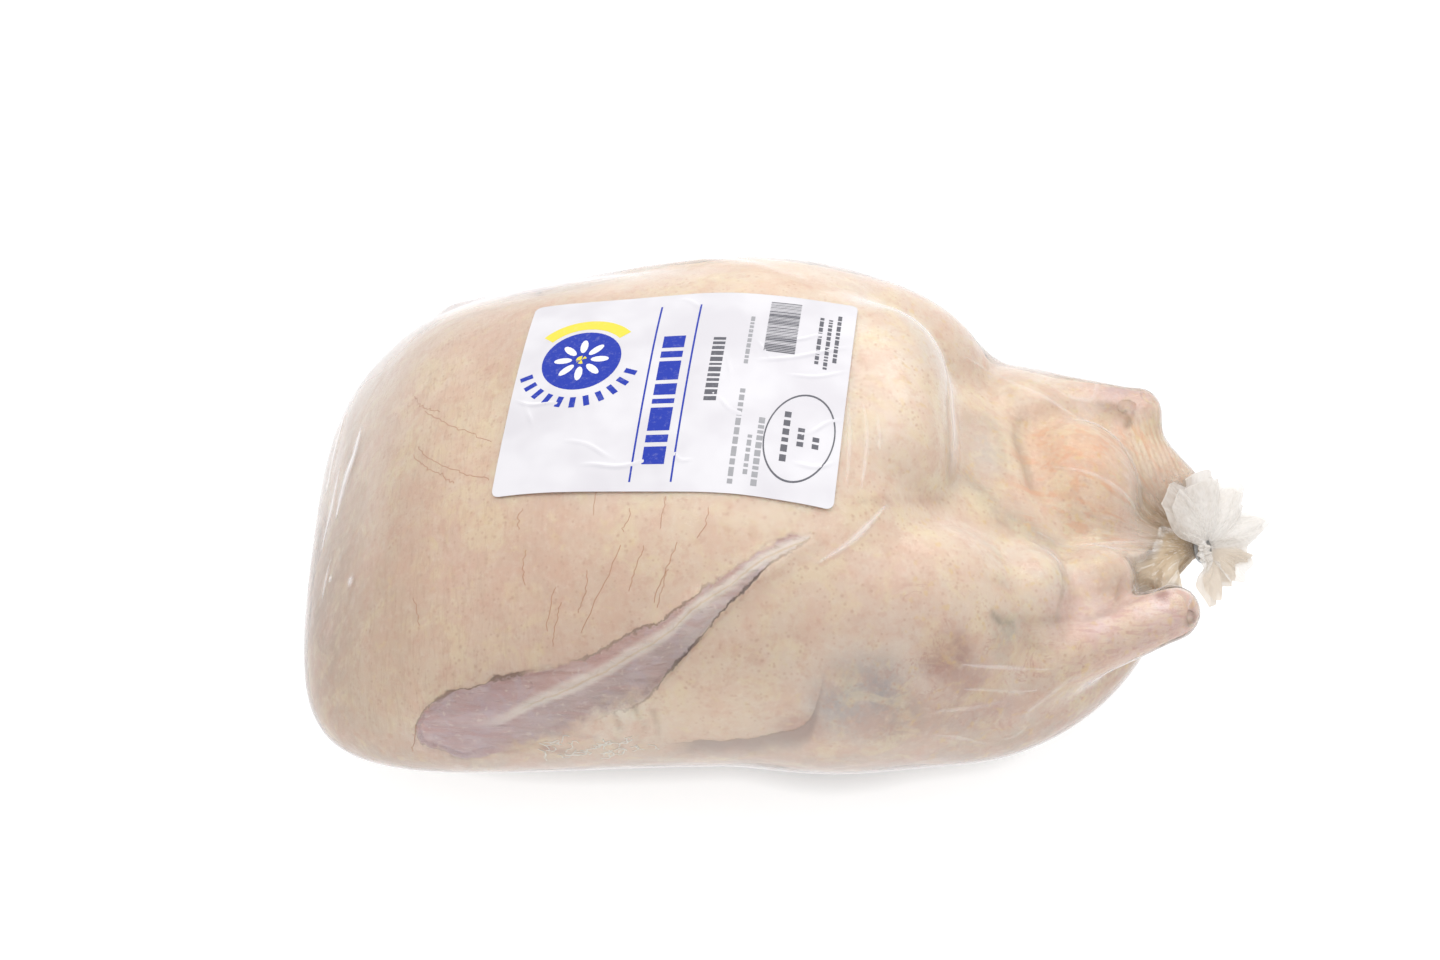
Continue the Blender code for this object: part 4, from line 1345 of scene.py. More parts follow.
# %% The film's material
film_material, tree, milk, output = material_tree("clear film")
place = own_place(tree)
veil_value = kept(tree, "veil")
warmth_value = kept(tree, "warmth")
gathered_value = kept(tree, "gathered")
to_gather = vector_math(tree, "SUBTRACT", place, GATHER)[0]
away_value = vector_math(tree, "LENGTH", to_gather)["Value"]
direction = vector_math(tree, "NORMALIZE", to_gather)[0]
broad_pleats = noise(tree, direction, 0.12, 2.0, 0.5)
fine_pleats = noise(tree, direction, 0.034, 2.0, 0.5)
pleat_zone = map_range(tree, away_value, 0.115, 0.04)
slack = noise(tree, place, 0.016, 2.0, 0.5, 0.4)
fine_slack = noise(tree, place, 0.0045, 3.0, 0.6, 0.8)
normal = bump(tree, slack, 0.0012, 0.6)
normal = bump(tree, fine_slack, 0.00025, 0.5, normal)
normal = bump(tree, times(tree, fine_pleats, pleat_zone), 0.0007, 0.7, normal)

def mixed(tree, share, first, second):
    """A shader that is the first, with a share of the second."""
    return node(tree, "ShaderNodeMixShader", None, i0=share, i1=first, i2=second).outputs[0]


clear = node(tree, "ShaderNodeBsdfTransparent").outputs[0]
mirror = node(tree, "ShaderNodeBsdfGlossy", None, Roughness=0.1, Color=(1, 1, 1, 1), Normal=normal)
fresnel = node(tree, "ShaderNodeFresnel", None, IOR=1.33, Normal=normal).outputs[0]
shine = times(tree, fresnel, 1.15)
film_shader = mixed(tree, shine, clear, mirror.outputs[0])

uneven = map_range(tree, slack, 0.35, 0.65, 0.75, 1.15)
haze = math_node(tree, "MULTIPLY_ADD", veil_value, uneven, 0.015)
white_line = map_range(tree, fine_pleats, 0.56, 0.68)
line_zone = times(tree, pleat_zone, map_range(tree, warmth_value, 0.0, 0.5, 0.55, 1.0))
white_line = times(tree, white_line, line_zone)
haze = math_node(tree, "MULTIPLY_ADD", white_line, 0.12, haze)
# Painted shade: brown lines beside the pleats' ridges
pleat_shade_line = map_range(tree, fine_pleats, 0.42, 0.32)
pleat_shade_line = times(tree, pleat_shade_line, line_zone)
haze = math_node(tree, "MULTIPLY_ADD", pleat_shade_line, 0.12, haze)
# A painted sheen: the film turns milky white towards grazing sight, like the white room reflected in it
grazing = node(tree, "ShaderNodeLayerWeight", None, Blend=0.5).outputs["Facing"]
rim = math_node(tree, "POWER", grazing, 5.0)
haze = math_node(tree, "MULTIPLY_ADD", rim, 0.6, haze)
haze = math_node(tree, "MINIMUM", haze, 0.9)
milk_tone = mix_color(tree, warmth_value, (0.9, 0.875, 0.895), (0.74, 0.63, 0.49))
milk_tone = mix_color(tree, gathered_value, milk_tone, (0.5, 0.36, 0.21))
# Painted shade in the valleys between the pleats near the gather
valley_shade = map_range(tree, broad_pleats, 0.54, 0.38)
valley_shade = times(tree, valley_shade, map_range(tree, away_value, 0.06, 0.015))
milk_tone = tinted(tree, milk_tone, valley_shade, 0.6, (0.32, 0.21, 0.11))
milk_tone = tinted(tree, milk_tone, pleat_shade_line, 0.55, (0.6, 0.44, 0.29))
milk_tone = tinted(tree, milk_tone, white_line, 0.45, (0.9, 0.86, 0.82))
set_inputs(tree, milk, Base_Color=milk_tone, Normal=normal, Roughness=0.35, Specular_IOR_Level=0.5)
final = mixed(tree, haze, film_shader, milk.outputs[0])
set_inputs(tree, output, Surface=final)
film.data.materials.append(film_material)
print("film material:", len(tree.nodes), "nodes")

# %% [markdown]
# ## The ruffle
#
# Past the clip the film opens like a carnation. Its shape follows a rule: rings of points round
# the neck, whose folds grow towards the rim. Two walls of the bag lie in each other, so there
# are two sheets with folds out of step, and each rim is crimped.

# %% A sheet of folded film round the neck
RUFFLE_PROFILE = (
    (0.0062, 0.0036), (0.008, 0.006), (0.0094, 0.01), (0.0104, 0.015), (0.0104, 0.02),
    (0.0092, 0.0245),
)
# How far the rim reaches in each direction round the neck, in degrees and metres
RUFFLE_REACH = (
    (0, 0.028), (20, 0.0298), (50, 0.03), (84, 0.031), (97, 0.03), (110, 0.019),
    (124, 0.009), (160, 0.009), (180, 0.011), (192, 0.019), (202, 0.025), (228, 0.0165),
    (255, 0.0135), (290, 0.016), (312, 0.018), (322, 0.0265), (336, 0.029), (350, 0.0255),
)
RUFFLE_LEAN_TURN = math.radians(112)
RUFFLE_LEAN = 0.35
RUFFLE_FOLDS = 9
RUFFLE_FOLD_HEIGHT = 0.003
RUFFLE_RINGS = 40
RUFFLE_SEGMENTS = 900


def round_neck(distance, radius, turn):
    """Points at a distance along the neck and a radius and turn round it."""
    level = along * distance[..., None] + across * (radius * np.cos(turn))[..., None]
    return gather + level + aside * (radius * np.sin(turn))[..., None]


def ruffle_sheet(lift_along, seed, reach_share, crimp):
    """Points and faces of one sheet, with each point's turn round the neck and its folds."""
    distances, radii = np.array(RUFFLE_PROFILE).T
    throat, rim = radii[0], radii[-1]
    rings = np.linspace(0, 1, RUFFLE_RINGS)
    steps = np.linspace(0, 1, len(radii))
    radius = np.interp(rings, steps, radii)[:, None]
    place_along = np.interp(rings, steps, distances)[:, None]
    turn = np.linspace(0, 2 * np.pi, RUFFLE_SEGMENTS, endpoint=False)[None, :]
    directions, reaches = zip(*RUFFLE_REACH)
    reach = np.interp(np.degrees(turn), directions, reaches, period=360) * reach_share
    share = radius / rim
    opened = (radius - throat) / (rim - throat)
    draw = np.random.default_rng(seed)
    fold = np.sin(RUFFLE_FOLDS * turn + 1.2 * np.sin(2 * turn)) * share**2
    small = np.zeros((RUFFLE_RINGS, RUFFLE_SEGMENTS))
    for count in (13, 19, 27, 37, 53):
        small = small + draw.uniform(0.6, 1.0) * (13 / count) ** 0.9 * np.sin(
            count * turn + draw.uniform(0, 6.28) + draw.uniform(-1.5, 1.5) * share
        )
    small = small * crimp * opened**1.2
    scallop = 0.05 * fold + 0.016 * small * opened**3
    out = throat + opened * (reach - throat) * (1 + scallop)
    lean = RUFFLE_LEAN * (out - throat) * np.cos(turn - RUFFLE_LEAN_TURN)
    height = RUFFLE_FOLD_HEIGHT * fold * reach / rim + 0.00055 * small
    place_along = place_along + lift_along - lean + height
    points = round_neck(place_along, out, turn)
    index = np.arange(RUFFLE_RINGS * RUFFLE_SEGMENTS).reshape(RUFFLE_RINGS, RUFFLE_SEGMENTS)
    after = np.roll(index, -1, axis=1)
    quads = np.stack((index[:-1], after[:-1], after[1:], index[1:]), axis=-1).reshape(-1, 4)
    turns = np.broadcast_to(turn, small.shape).ravel()
    rims = np.broadcast_to(opened, small.shape).ravel()
    return points.reshape(-1, 3), quads, turns, small.ravel(), rims


# %% [markdown]
# ### The ruffle's material
#
# Crumpled film scatters light, so it is milky and lets some light through from behind. It is
# mixed from a rough white, a glow for the light from behind, and clear.

# %% The ruffle's material
ruffle_material, tree, milk, output = material_tree("crumpled film")
place = own_place(tree)
shaded_beige = kept(tree, "shaded_beige")
crease = kept(tree, "crease")
rim_value = kept(tree, "rim")
offset = vector_math(tree, "SUBTRACT", place, GATHER)[0]
direction = vector_math(tree, "NORMALIZE", offset)[0]
striation = noise(tree, direction, 0.07, 2.0, 0.5)
crumple = noise(tree, place, 0.003, 4.0, 0.6, 1.0)
# Beige on one side of the ruffle: partly the folded film's own tone, partly painted shade on the side away
# from the light
milk_tone = mix_color(tree, shaded_beige, (0.83, 0.8, 0.77), (0.74, 0.64, 0.53))
shade = map_range(tree, striation, 0.6, 0.35)
milk_tone = tinted(tree, milk_tone, shade, 0.22, (0.7, 0.62, 0.52))
normal = bump(tree, striation, 0.0008, 0.7)
normal = bump(tree, crumple, 0.0004, 0.5, normal)
set_inputs(tree, milk, Base_Color=milk_tone, Normal=normal, Roughness=0.28)
glow = node(tree, "ShaderNodeBsdfTranslucent", None, Color=(0.95, 0.93, 0.9, 1)).outputs[0]
lit = mixed(tree, 0.4, milk.outputs[0], glow)
clear = node(tree, "ShaderNodeBsdfTransparent").outputs[0]
cover = map_range(tree, striation, 0.3, 0.65, 0.68, 0.84)
cover = math_node(tree, "MULTIPLY_ADD", crease, 0.15, cover)
cover = math_node(tree, "MAXIMUM", cover, map_range(tree, rim_value, 0.955, 0.985, 0.0, 0.92))
cover = math_node(tree, "MAXIMUM", cover, times(tree, shaded_beige, 0.88))
cover = math_node(tree, "MINIMUM", cover, 0.95)
set_inputs(tree, output, Surface=mixed(tree, cover, clear, lit))

# %% The two sheets, and a petal that bulges over the clip
SHEETS = (("ruffle_outer", -0.0002, 41, 0.965, 1.0), ("ruffle_inner", 0.0016, 42, 0.86, 1.5))
# Between these turns the ruffle is beige, partly its own tone and partly painted shade
SHADED_BEIGE_TURNS = (186, 312)
ruffle_pieces = []
for name, lift_along, seed, reach_share, crimp in SHEETS:
    points, quads, turns, small, rims = ruffle_sheet(lift_along, seed, reach_share, crimp)
    piece = new_piece(name, points, quads, ruffle_material)
    degrees = np.degrees(turns)
    shaded_beige_share = ramp(degrees, SHADED_BEIGE_TURNS[0] - 6, SHADED_BEIGE_TURNS[0] + 6)
    shaded_beige_share = shaded_beige_share * (1 - ramp(degrees, SHADED_BEIGE_TURNS[1] - 8, SHADED_BEIGE_TURNS[1] + 8))
    keep_values(piece, "shaded_beige", shaded_beige_share)
    keep_values(piece, "crease", np.clip(small, 0, 1))
    keep_values(piece, "rim", rims)
    ruffle_pieces.append(piece)

PETAL_TURNS = (205, 352)
PETAL_ROWS = 40
PETAL_STEPS = 150
# From its foot to its rim: share of the way, radius, and distance along the neck
PETAL_SHARES = (0, 0.16, 0.34, 0.55, 0.8, 1)
PETAL_RADII = (0.0036, 0.0066, 0.008, 0.0094, 0.0128, 0.0165)
PETAL_DISTANCES = (0.0064, 0.0056, 0.0064, 0.0098, 0.0128, 0.0136)
PETAL_FOLDS = 11
PETAL_FOLD_HEIGHT = 0.0007
PETAL_LEAN = 0.2
rows = np.linspace(0, 1, PETAL_ROWS)[:, None]
steps = np.linspace(0, 1, PETAL_STEPS)[None, :]
petal_turn = np.radians(PETAL_TURNS[0] + steps * (PETAL_TURNS[1] - PETAL_TURNS[0]))
side_fade = np.sin(np.pi * np.clip(steps, 0.02, 0.98)) ** 0.45
bulge = np.interp(rows, PETAL_SHARES, PETAL_RADII)
forward = np.interp(rows, PETAL_SHARES, PETAL_DISTANCES)
petal_fold = np.sin(PETAL_FOLDS * petal_turn + 2.4 * rows) * rows * PETAL_FOLD_HEIGHT
petal_reach = PETAL_RADII[0] + (bulge - PETAL_RADII[0]) * side_fade + petal_fold
petal_lean = PETAL_LEAN * (petal_reach - PETAL_RADII[0]) * np.cos(petal_turn - RUFFLE_LEAN_TURN)
petal_along = forward + petal_fold - petal_lean
petal_points = round_neck(petal_along, petal_reach, petal_turn)
index = np.arange(PETAL_ROWS * PETAL_STEPS).reshape(PETAL_ROWS, PETAL_STEPS)
petal = new_piece("ruffle_petal", petal_points.reshape(-1, 3), grid_faces(index), ruffle_material)
bright = np.exp(-(((rows - 0.34) / 0.1) ** 2)) + np.exp(-(((rows - 1.0) / 0.05) ** 2)) + 0 * steps
keep_values(petal, "shaded_beige", np.zeros(petal_reach.size))
keep_values(petal, "crease", np.clip(0.6 + 0.4 * bright, 0, 1).ravel())
keep_values(petal, "rim", np.zeros(petal_reach.size))
ruffle_pieces.append(petal)
print("ruffle:", [len(piece.data.vertices) for piece in ruffle_pieces], "vertices")

# %% [markdown]
# ## The clip
#
# The clip is a piece of dull wire bent round the neck. A curve follows the ring, and Geometry
# Nodes give it its thickness. Its ends pass each other by a little, so it is a bent wire and
# not a seamless ring.

# %% A node group that turns edges into wire
def new_group(name, inputs):
    """A node group with a geometry input and output and the named inputs."""
    group = bpy.data.node_groups.new(name, "GeometryNodeTree")
    group.interface.new_socket("Geometry", in_out="INPUT", socket_type="NodeSocketGeometry")
    for label_text, kind, value in inputs:
        socket = group.interface.new_socket(label_text, in_out="INPUT", socket_type=kind)
        if value is not None:
            socket.default_value = value
    group.interface.new_socket("Geometry", in_out="OUTPUT", socket_type="NodeSocketGeometry")
    return group, node(group, "NodeGroupInput").outputs, node(group, "NodeGroupOutput")


def run_group(obj, group, name, values):
    """Runs the group on obj and returns a plain mesh object of what it makes."""
    modifier = obj.modifiers.new("nodes", "NODES")
    modifier.node_group = group
    for item in group.interface.items_tree:
        if item.item_type == "SOCKET" and item.in_out == "INPUT" and item.name in values:
            modifier[item.identifier] = values[item.name]
    bpy.context.view_layer.update()
    evaluated = obj.evaluated_get(bpy.context.evaluated_depsgraph_get())
    mesh = bpy.data.meshes.new_from_object(evaluated)
    mesh.name = name
    obj.modifiers.remove(modifier)
    made = bpy.data.objects.new(name, mesh)
    scene.collection.objects.link(made)
    return made


def geometry(group, kind, settings=None, **inputs):
    """The outputs of a new geometry node."""
    return node(group, "GeometryNode" + kind, settings, **inputs).outputs


wire_group, inside_group, outside_group = new_group("wire along edges", (
    ("Radius", "NodeSocketFloat", 0.001),
    ("Sides", "NodeSocketInt", 12),
    ("Material", "NodeSocketMaterial", None),
))
curve = geometry(wire_group, "MeshToCurve", Mesh=inside_group["Geometry"])[0]
profile = geometry(
    wire_group, "CurvePrimitiveCircle", Resolution=inside_group["Sides"], Radius=inside_group["Radius"]
)[0]
thickness = geometry(wire_group, "InputNamedAttribute", {"data_type": "FLOAT"}, Name="thick")[0]
sized = geometry(wire_group, "SetCurveRadius", Curve=curve, Radius=thickness)[0]
tube = geometry(wire_group, "CurveToMesh", Curve=sized, Profile_Curve=profile, Fill_Caps=True)[0]
shaded = geometry(wire_group, "SetShadeSmooth", Geometry=tube)[0]
painted = geometry(wire_group, "SetMaterial", Geometry=shaded, Material=inside_group["Material"])[0]
wire_group.links.new(painted, outside_group.inputs[0])


def wires(name, lines, radius, sides, material):
    """Round wires along lists of points. A line may taper: each point is (place, thickness)."""
    points, thick, edges = [], [], []
    for line in lines:
        start = len(points)
        for place, share in line:
            points.append(np.asarray(place) + SHIFT)
            thick.append(share)
        edges += [(i, i + 1) for i in range(start, len(points) - 1)]
    mesh = bpy.data.meshes.new(name + "_lines")
    mesh.from_pydata([tuple(p) for p in points], edges, [])
    attribute = mesh.attributes.new("thick", "FLOAT", "POINT")
    attribute.data.foreach_set("value", np.array(thick, np.float32))
    obj = bpy.data.objects.new(name + "_lines", mesh)
    scene.collection.objects.link(obj)
    made = run_group(obj, wire_group, name, {"Radius": radius, "Sides": sides, "Material": material})
    bpy.data.objects.remove(obj)
    return made


# %% The clip's wire
wire_material, tree, shader, _ = material_tree("dull grey wire")
place = own_place(tree)
scratches = noise(tree, place, 0.0006, 4.0, 0.7)
grey = mix_color(tree, map_range(tree, scratches, 0.35, 0.7), (0.3, 0.31, 0.32), (0.52, 0.53, 0.54))
dull = map_range(tree, scratches, 0.3, 0.7, 0.3, 0.5)
scratched = bump(tree, scratches, 0.0001, 0.6)
set_inputs(tree, shader, Base_Color=grey, Roughness=dull, Normal=scratched, Metallic=1.0)

CLIP_OVERLAP = math.radians(50)
CLIP_STEPS = 72
CLIP_THINNING = 0.62
clip_line = []
for step in range(CLIP_STEPS + 1):
    share = step / CLIP_STEPS
    turn = -CLIP_OVERLAP / 2 + share * (2 * math.pi + CLIP_OVERLAP)
    reach = CLIP_RADIUS + 0.0001 * math.cos(2 * turn)
    rise_along = CLIP_ALONG + (share - 0.5) * 0.0005
    spot = gather + along * rise_along + reach * (across * math.cos(turn) + aside * math.sin(turn))
    clip_line.append((spot, CLIP_THINNING))
clip = wires("clip_wire", [clip_line], CLIP_WIRE_RADIUS, 12, wire_material)
print("clip:", len(clip.data.polygons), "faces")

# %% [markdown]
# ## The label
#
# The label is coated paper stuck to the bag. A fine grid of points is laid on the film from
# above, so it takes the breast's curve, and a few creases run over it where the film under it
# slid. The print is made of thin patches of ink that lie on the same surface: a plain round
# emblem, two ruled lines with blocks between them, bars, and an oval ring.

# %% How high the bag lies under a point
ABOVE_ALL = 0.3
film_tree = BVHTree.FromPolygons(points_of(film).tolist(), [p.vertices for p in film.data.polygons])


def film_height(x, y):
    """Z of the film at plan points, straight down from above."""
    found = []
    for a, b in zip(x, y):
        found.append(film_tree.ray_cast(Vector((a, b, ABOVE_ALL)), Vector((0, 0, -1)))[0].z)
    points = np.column_stack((x, y, found))
    for _ in range(3):
        value = film_field(points)
        rate = (film_field(points + (0, 0, PROBE)) - value) / PROBE
        points[:, 2] -= value / np.maximum(rate, 0.3)
    return points[:, 2]


# %% The label's surface
LABEL_GAP = 0.00035
PAPER_THICKNESS = 0.00016
# Creases: start and end in millimetres on the label, height and half width in millimetres
CREASES = (
    ((-60, -6), (-44, -10), 0.45, 0.7),
    ((-60, 2), (-50, -22), 0.4, 0.8),
    ((-38, -26), (-18, -34), 0.34, 0.8),
    ((-30, -38), (-8, -36), 0.4, 0.8),
    ((2, -33), (10, -36), 0.3, 0.7),
    ((34, 22), (50, 26), 0.42, 0.8),
    ((28, 10), (61, 22), 0.45, 0.9),
    ((40, 4), (61, 10), 0.36, 0.8),
    ((48, -20), (61, -12), 0.4, 0.8),
    ((46, -34), (61, -30), 0.34, 0.8),
    ((-6, 44), (6, 38), 0.3, 1.0),
    ((14, -8), (26, -16), 0.34, 0.8),
    ((22, 30), (34, 8), 0.34, 0.7),
    ((16, 20), (20, -6), 0.28, 0.7),
)


def crease_height(u, v):
    """How far the creases lift the paper, in metres."""
    high = np.zeros_like(u)
    for (u0, v0), (u1, v1), height, half in CREASES:
        du, dv = u1 - u0, v1 - v0
        share = np.clip(((1000 * u - u0) * du + (1000 * v - v0) * dv) / (du * du + dv * dv), 0, 1)
        bend = 1.1 * np.sin(share * 5 + u0)
        off = np.hypot(1000 * u - u0 - share * du, 1000 * v - v0 - share * dv - bend)
        taper = np.sin(np.pi * np.clip(0.08 + 0.84 * share, 0, 1))
        high = high + 0.001 * height * taper * np.exp(-((off / half) ** 2))
    plan = np.column_stack((u, v))
    return high + 0.00006 * waves(plan, 0.016, 51) + 0.00002 * waves(plan, 0.005, 52)


def label_place(u, v):
    """X and Y of a place on the label, u along its long side and v up its short side."""
    x = LABEL_CENTRE[0] + u * math.cos(LABEL_TURN) - v * math.sin(LABEL_TURN)
    y = LABEL_CENTRE[1] + u * math.sin(LABEL_TURN) + v * math.cos(LABEL_TURN)
    return x, y


def on_label(u, v, height=0.0):
    """Points on the label's face, or height above it."""
    x, y = label_place(u, v)
    z = film_height(x, y) + LABEL_GAP + PAPER_THICKNESS + crease_height(u, v) + height
    return np.column_stack((x, y, z))


# %% The label's paper
LABEL_STEP = 0.0007
LABEL_ROWS = 130
half_u, half_v = LABEL_SIZE[0] / 2, LABEL_SIZE[1] / 2
corner_rows = LABEL_CORNER * (1 - np.cos(np.linspace(0, math.pi / 2, 7)))
inner_rows = np.linspace(-half_v + LABEL_CORNER, half_v - LABEL_CORNER, LABEL_ROWS)[1:-1]
rows_v = np.concatenate((-half_v + corner_rows, inner_rows, half_v - corner_rows[::-1]))
columns = int(LABEL_SIZE[0] / LABEL_STEP)
inset = np.maximum(LABEL_CORNER - (half_v - np.abs(rows_v)), 0)
reach = half_u - LABEL_CORNER + np.sqrt(LABEL_CORNER**2 - inset**2)
grid_u = reach[:, None] * np.linspace(-1, 1, columns)[None, :]
grid_v = np.broadcast_to(rows_v[:, None], grid_u.shape)
face_points = on_label(grid_u.ravel(), grid_v.ravel())
back_points = face_points - (0, 0, PAPER_THICKNESS)
index = np.arange(face_points.shape[0]).reshape(grid_u.shape)
quads = grid_faces(index)
count = len(face_points)
rim_loop = np.concatenate((index[0], index[1:, -1], index[-1, -2::-1], index[-2:0:-1, 0]))
rim_next = np.roll(rim_loop, -1)
rim_quads = np.stack((rim_loop, rim_loop + count, rim_next + count, rim_next), -1)
all_faces = np.concatenate((quads, quads[:, ::-1] + count, rim_quads))

paper_material, tree, shader, _ = material_tree("coated paper")
place = own_place(tree)
fibre = noise(tree, place, 0.0008, 4.0, 0.7)
cloud = noise(tree, place, 0.02, 2.0)
paper = mix_color(tree, map_range(tree, cloud, 0.3, 0.7), (0.67, 0.65, 0.685), (0.75, 0.735, 0.765))
# Painted light and shade on the creases: the paper is darker on one flank of each and lighter on the other
fold = kept(tree, "fold")
paper = mix_color(tree, map_range(tree, fold, 0.0, 1.0, 0.0, 0.4), paper, (0.5, 0.49, 0.54))
paper = mix_color(tree, map_range(tree, fold, 0.0, -1.0, 0.0, 0.8), paper, (0.9, 0.89, 0.92))
fibres = bump(tree, fibre, 0.00004, 0.6)
set_inputs(
    tree, shader, Base_Color=paper, Normal=fibres, Roughness=map_range(tree, fibre, 0.3, 0.7, 0.36, 0.46)
)
label = new_piece("label_paper", np.concatenate((face_points, back_points)), all_faces, paper_material)
label.data.set_sharp_from_angle(angle=math.radians(60))
FOLD_STEP = 0.0005
FOLD_RISE = 0.00035
flat_u, flat_v = grid_u.ravel(), grid_v.ravel()
# The slope across each crease, which sets its painted light and shade
fold_slope = crease_height(flat_u, flat_v + FOLD_STEP) - crease_height(flat_u, flat_v - FOLD_STEP)
keep_values(label, "fold", np.tile(np.clip(fold_slope / FOLD_RISE, -1, 1), 2))
print("label:", len(label.data.polygons), "faces")

# %% [markdown]
# ### The print
#
# Each shape is worked out flat, in millimetres on the label, and then laid on it. A long shape
# is cut into short pieces first, so that it can bend with the paper.

# %% Flat shapes for the print
INK_HEIGHT = 0.00004
SECOND_INK_HEIGHT = 0.00008
INK_ROUGHNESS = 0.45
INK_WEAR = 0.12
INK_STEP = 2.0


def turned(a, b, u, v, turn):
    """Flat points (a, b) turned, and moved to (u, v)."""
    return np.column_stack((
        u + a * math.cos(turn) - b * math.sin(turn), v + a * math.sin(turn) + b * math.cos(turn)
    ))


def box_shape(u, v, width, height, turn=0.0):
    """A rectangle round (u, v), as a grid of quads."""
    nu = max(int(width / INK_STEP), 1) + 1
    nv = max(int(height / INK_STEP), 1) + 1
    a, b = np.meshgrid(np.linspace(-width / 2, width / 2, nu), np.linspace(-height / 2, height / 2, nv))
    a, b = a.ravel(), b.ravel()
    return turned(a, b, u, v, turn), grid_faces(np.arange(nu * nv).reshape(nv, nu))


def ring_shape(u, v, inner, outer, start=0.0, end=360.0, squash=1.0, turn=0.0):
    """A ring, arc or disc of quads. squash below 1 makes it an oval."""
    layers = max(int((outer - inner) / INK_STEP), 1) + 1
    steps = max(int(math.radians(end - start) * outer / INK_STEP), 12)
    radii = np.linspace(max(inner, 0.02), outer, layers)[:, None]
    angles = np.radians(np.linspace(start, end, steps + 1))[None, :]
    a, b = (radii * np.cos(angles)).ravel(), (radii * np.sin(angles) * squash).ravel()
    index = np.arange(a.size).reshape(layers, steps + 1)
    return turned(a, b, u, v, turn), grid_faces(index)[:, (0, 3, 2, 1)]


def ink(name, shapes, color, height=INK_HEIGHT):
    """One piece of ink from flat shapes in millimetres."""
    points, quads, start = [], [], 0
    for shape_points, shape_quads in shapes:
        points.append(shape_points)
        quads.append(shape_quads + start)
        start += len(shape_points)
    flat = 0.001 * np.concatenate(points)
    material, tree, shader, _ = material_tree(name)
    worn = map_range(tree, noise(tree, own_place(tree), 0.002, 4.0, 0.7), 0.22, 0.5)
    faded = tuple((1 - INK_WEAR) * c + INK_WEAR * 0.8 for c in color)
    tone = mix_color(tree, worn, faded, color)
    set_inputs(tree, shader, Base_Color=tone, Roughness=INK_ROUGHNESS, Specular_IOR_Level=0.2)
    return new_piece(name, on_label(flat[:, 0], flat[:, 1], height), np.concatenate(quads), material)


# %% Blue, yellow and white: a plain round emblem and a ruled band
BLUE = (0.02, 0.045, 0.4)
YELLOW = (0.82, 0.7, 0.08)
GREY = (0.13, 0.13, 0.15)
EMBLEM = (-38.0, 12.0)

blue_shapes = [ring_shape(*EMBLEM, 0, 15.0)]
for start in range(200, 341, 14):
    turn = math.radians(start)
    spot = (EMBLEM[0] + 21 * math.cos(turn), EMBLEM[1] + 21 * math.sin(turn))
    blue_shapes.append(box_shape(*spot, 4.8, 2.2, turn))
for u in (-11.5, 3.5):
    blue_shapes.append(box_shape(u, -2, 0.7, 84))
block = -38.0
for length in (9, 5, 12, 4, 7, 11, 5, 8):
    blue_shapes.append(box_shape(-4, block + length / 2, 8.2, length - 1.8))
    block += length
blue = ink("label_blue", blue_shapes, BLUE)

white_shapes = []
for petal in range(8):
    turn = math.radians(45 * petal)
    spot = (EMBLEM[0] + 7.0 * math.cos(turn), EMBLEM[1] + 7.0 * math.sin(turn))
    white_shapes.append(ring_shape(*spot, 0, 3.5, squash=0.42, turn=turn))
yellow_shapes = [ring_shape(*EMBLEM, 16.8, 21.8, 40, 140), ring_shape(*EMBLEM, 0, 2.1)]
yellow = ink("label_yellow", yellow_shapes, YELLOW)
white_ink = ink("label_white", white_shapes, (0.84, 0.83, 0.86), SECOND_INK_HEIGHT)

# %% Grey: columns of small blocks, and the oval ring
draw = np.random.default_rng(7)


def block_line(u, start, end, height, shortest=1.2, longest=4.2, gap=1.0):
    """A column of plain blocks of uneven lengths along v."""
    shapes, at = [], start
    while at < end - shortest:
        length = min(draw.uniform(shortest, longest), end - at)
        shapes.append(box_shape(u, at + length / 2, height, length))
        at += length + gap
    return shapes


grey_shapes = block_line(13.0, -10, 22, 4.6, 1.0, 2.4, 0.9)
grey_shapes += block_line(49.5, 12, 38, 1.5, 1.0, 3.0, 0.6)
grey_shapes += block_line(52.8, 10, 36, 1.5, 0.8, 2.6, 0.6)
grey_shapes += block_line(56.0, 14, 40, 1.5, 1.0, 3.0, 0.6)
grey_shapes += [ring_shape(47.0, -22.0, 18.2, 19.0, squash=0.66, turn=math.radians(80))]
grey_shapes += block_line(42.0, -33, -12, 2.4, 1.6, 3.4, 1.2)
grey_shapes += block_line(47.5, -26, -18, 2.4, 1.6, 2.6, 1.0)
grey_shapes += block_line(53.0, -26, -19, 2.4, 1.6, 2.6, 1.0)
grey = ink("label_grey", grey_shapes, GREY)
pale_shapes = block_line(24.5, -44, -4, 1.9, 1.4, 4.0, 1.0)
pale_shapes += block_line(29.5, -40, -24, 1.6, 1.2, 3.0, 0.9)
pale_shapes += block_line(33.0, -44, -16, 2.2, 1.2, 2.6, 0.8)
pale_shapes += block_line(24.0, 8, 34, 1.5, 1.0, 2.8, 0.7)
pale_grey = ink("label_pale_grey", pale_shapes, (0.36, 0.36, 0.38))

# %% [markdown]
# ### The bars
#
# A block of bars of uneven widths repeats one shape, so Geometry Nodes make it: a line of
# points, a flat bar at each, its width drawn at random, then every point dropped onto the
# label by a ray from above.

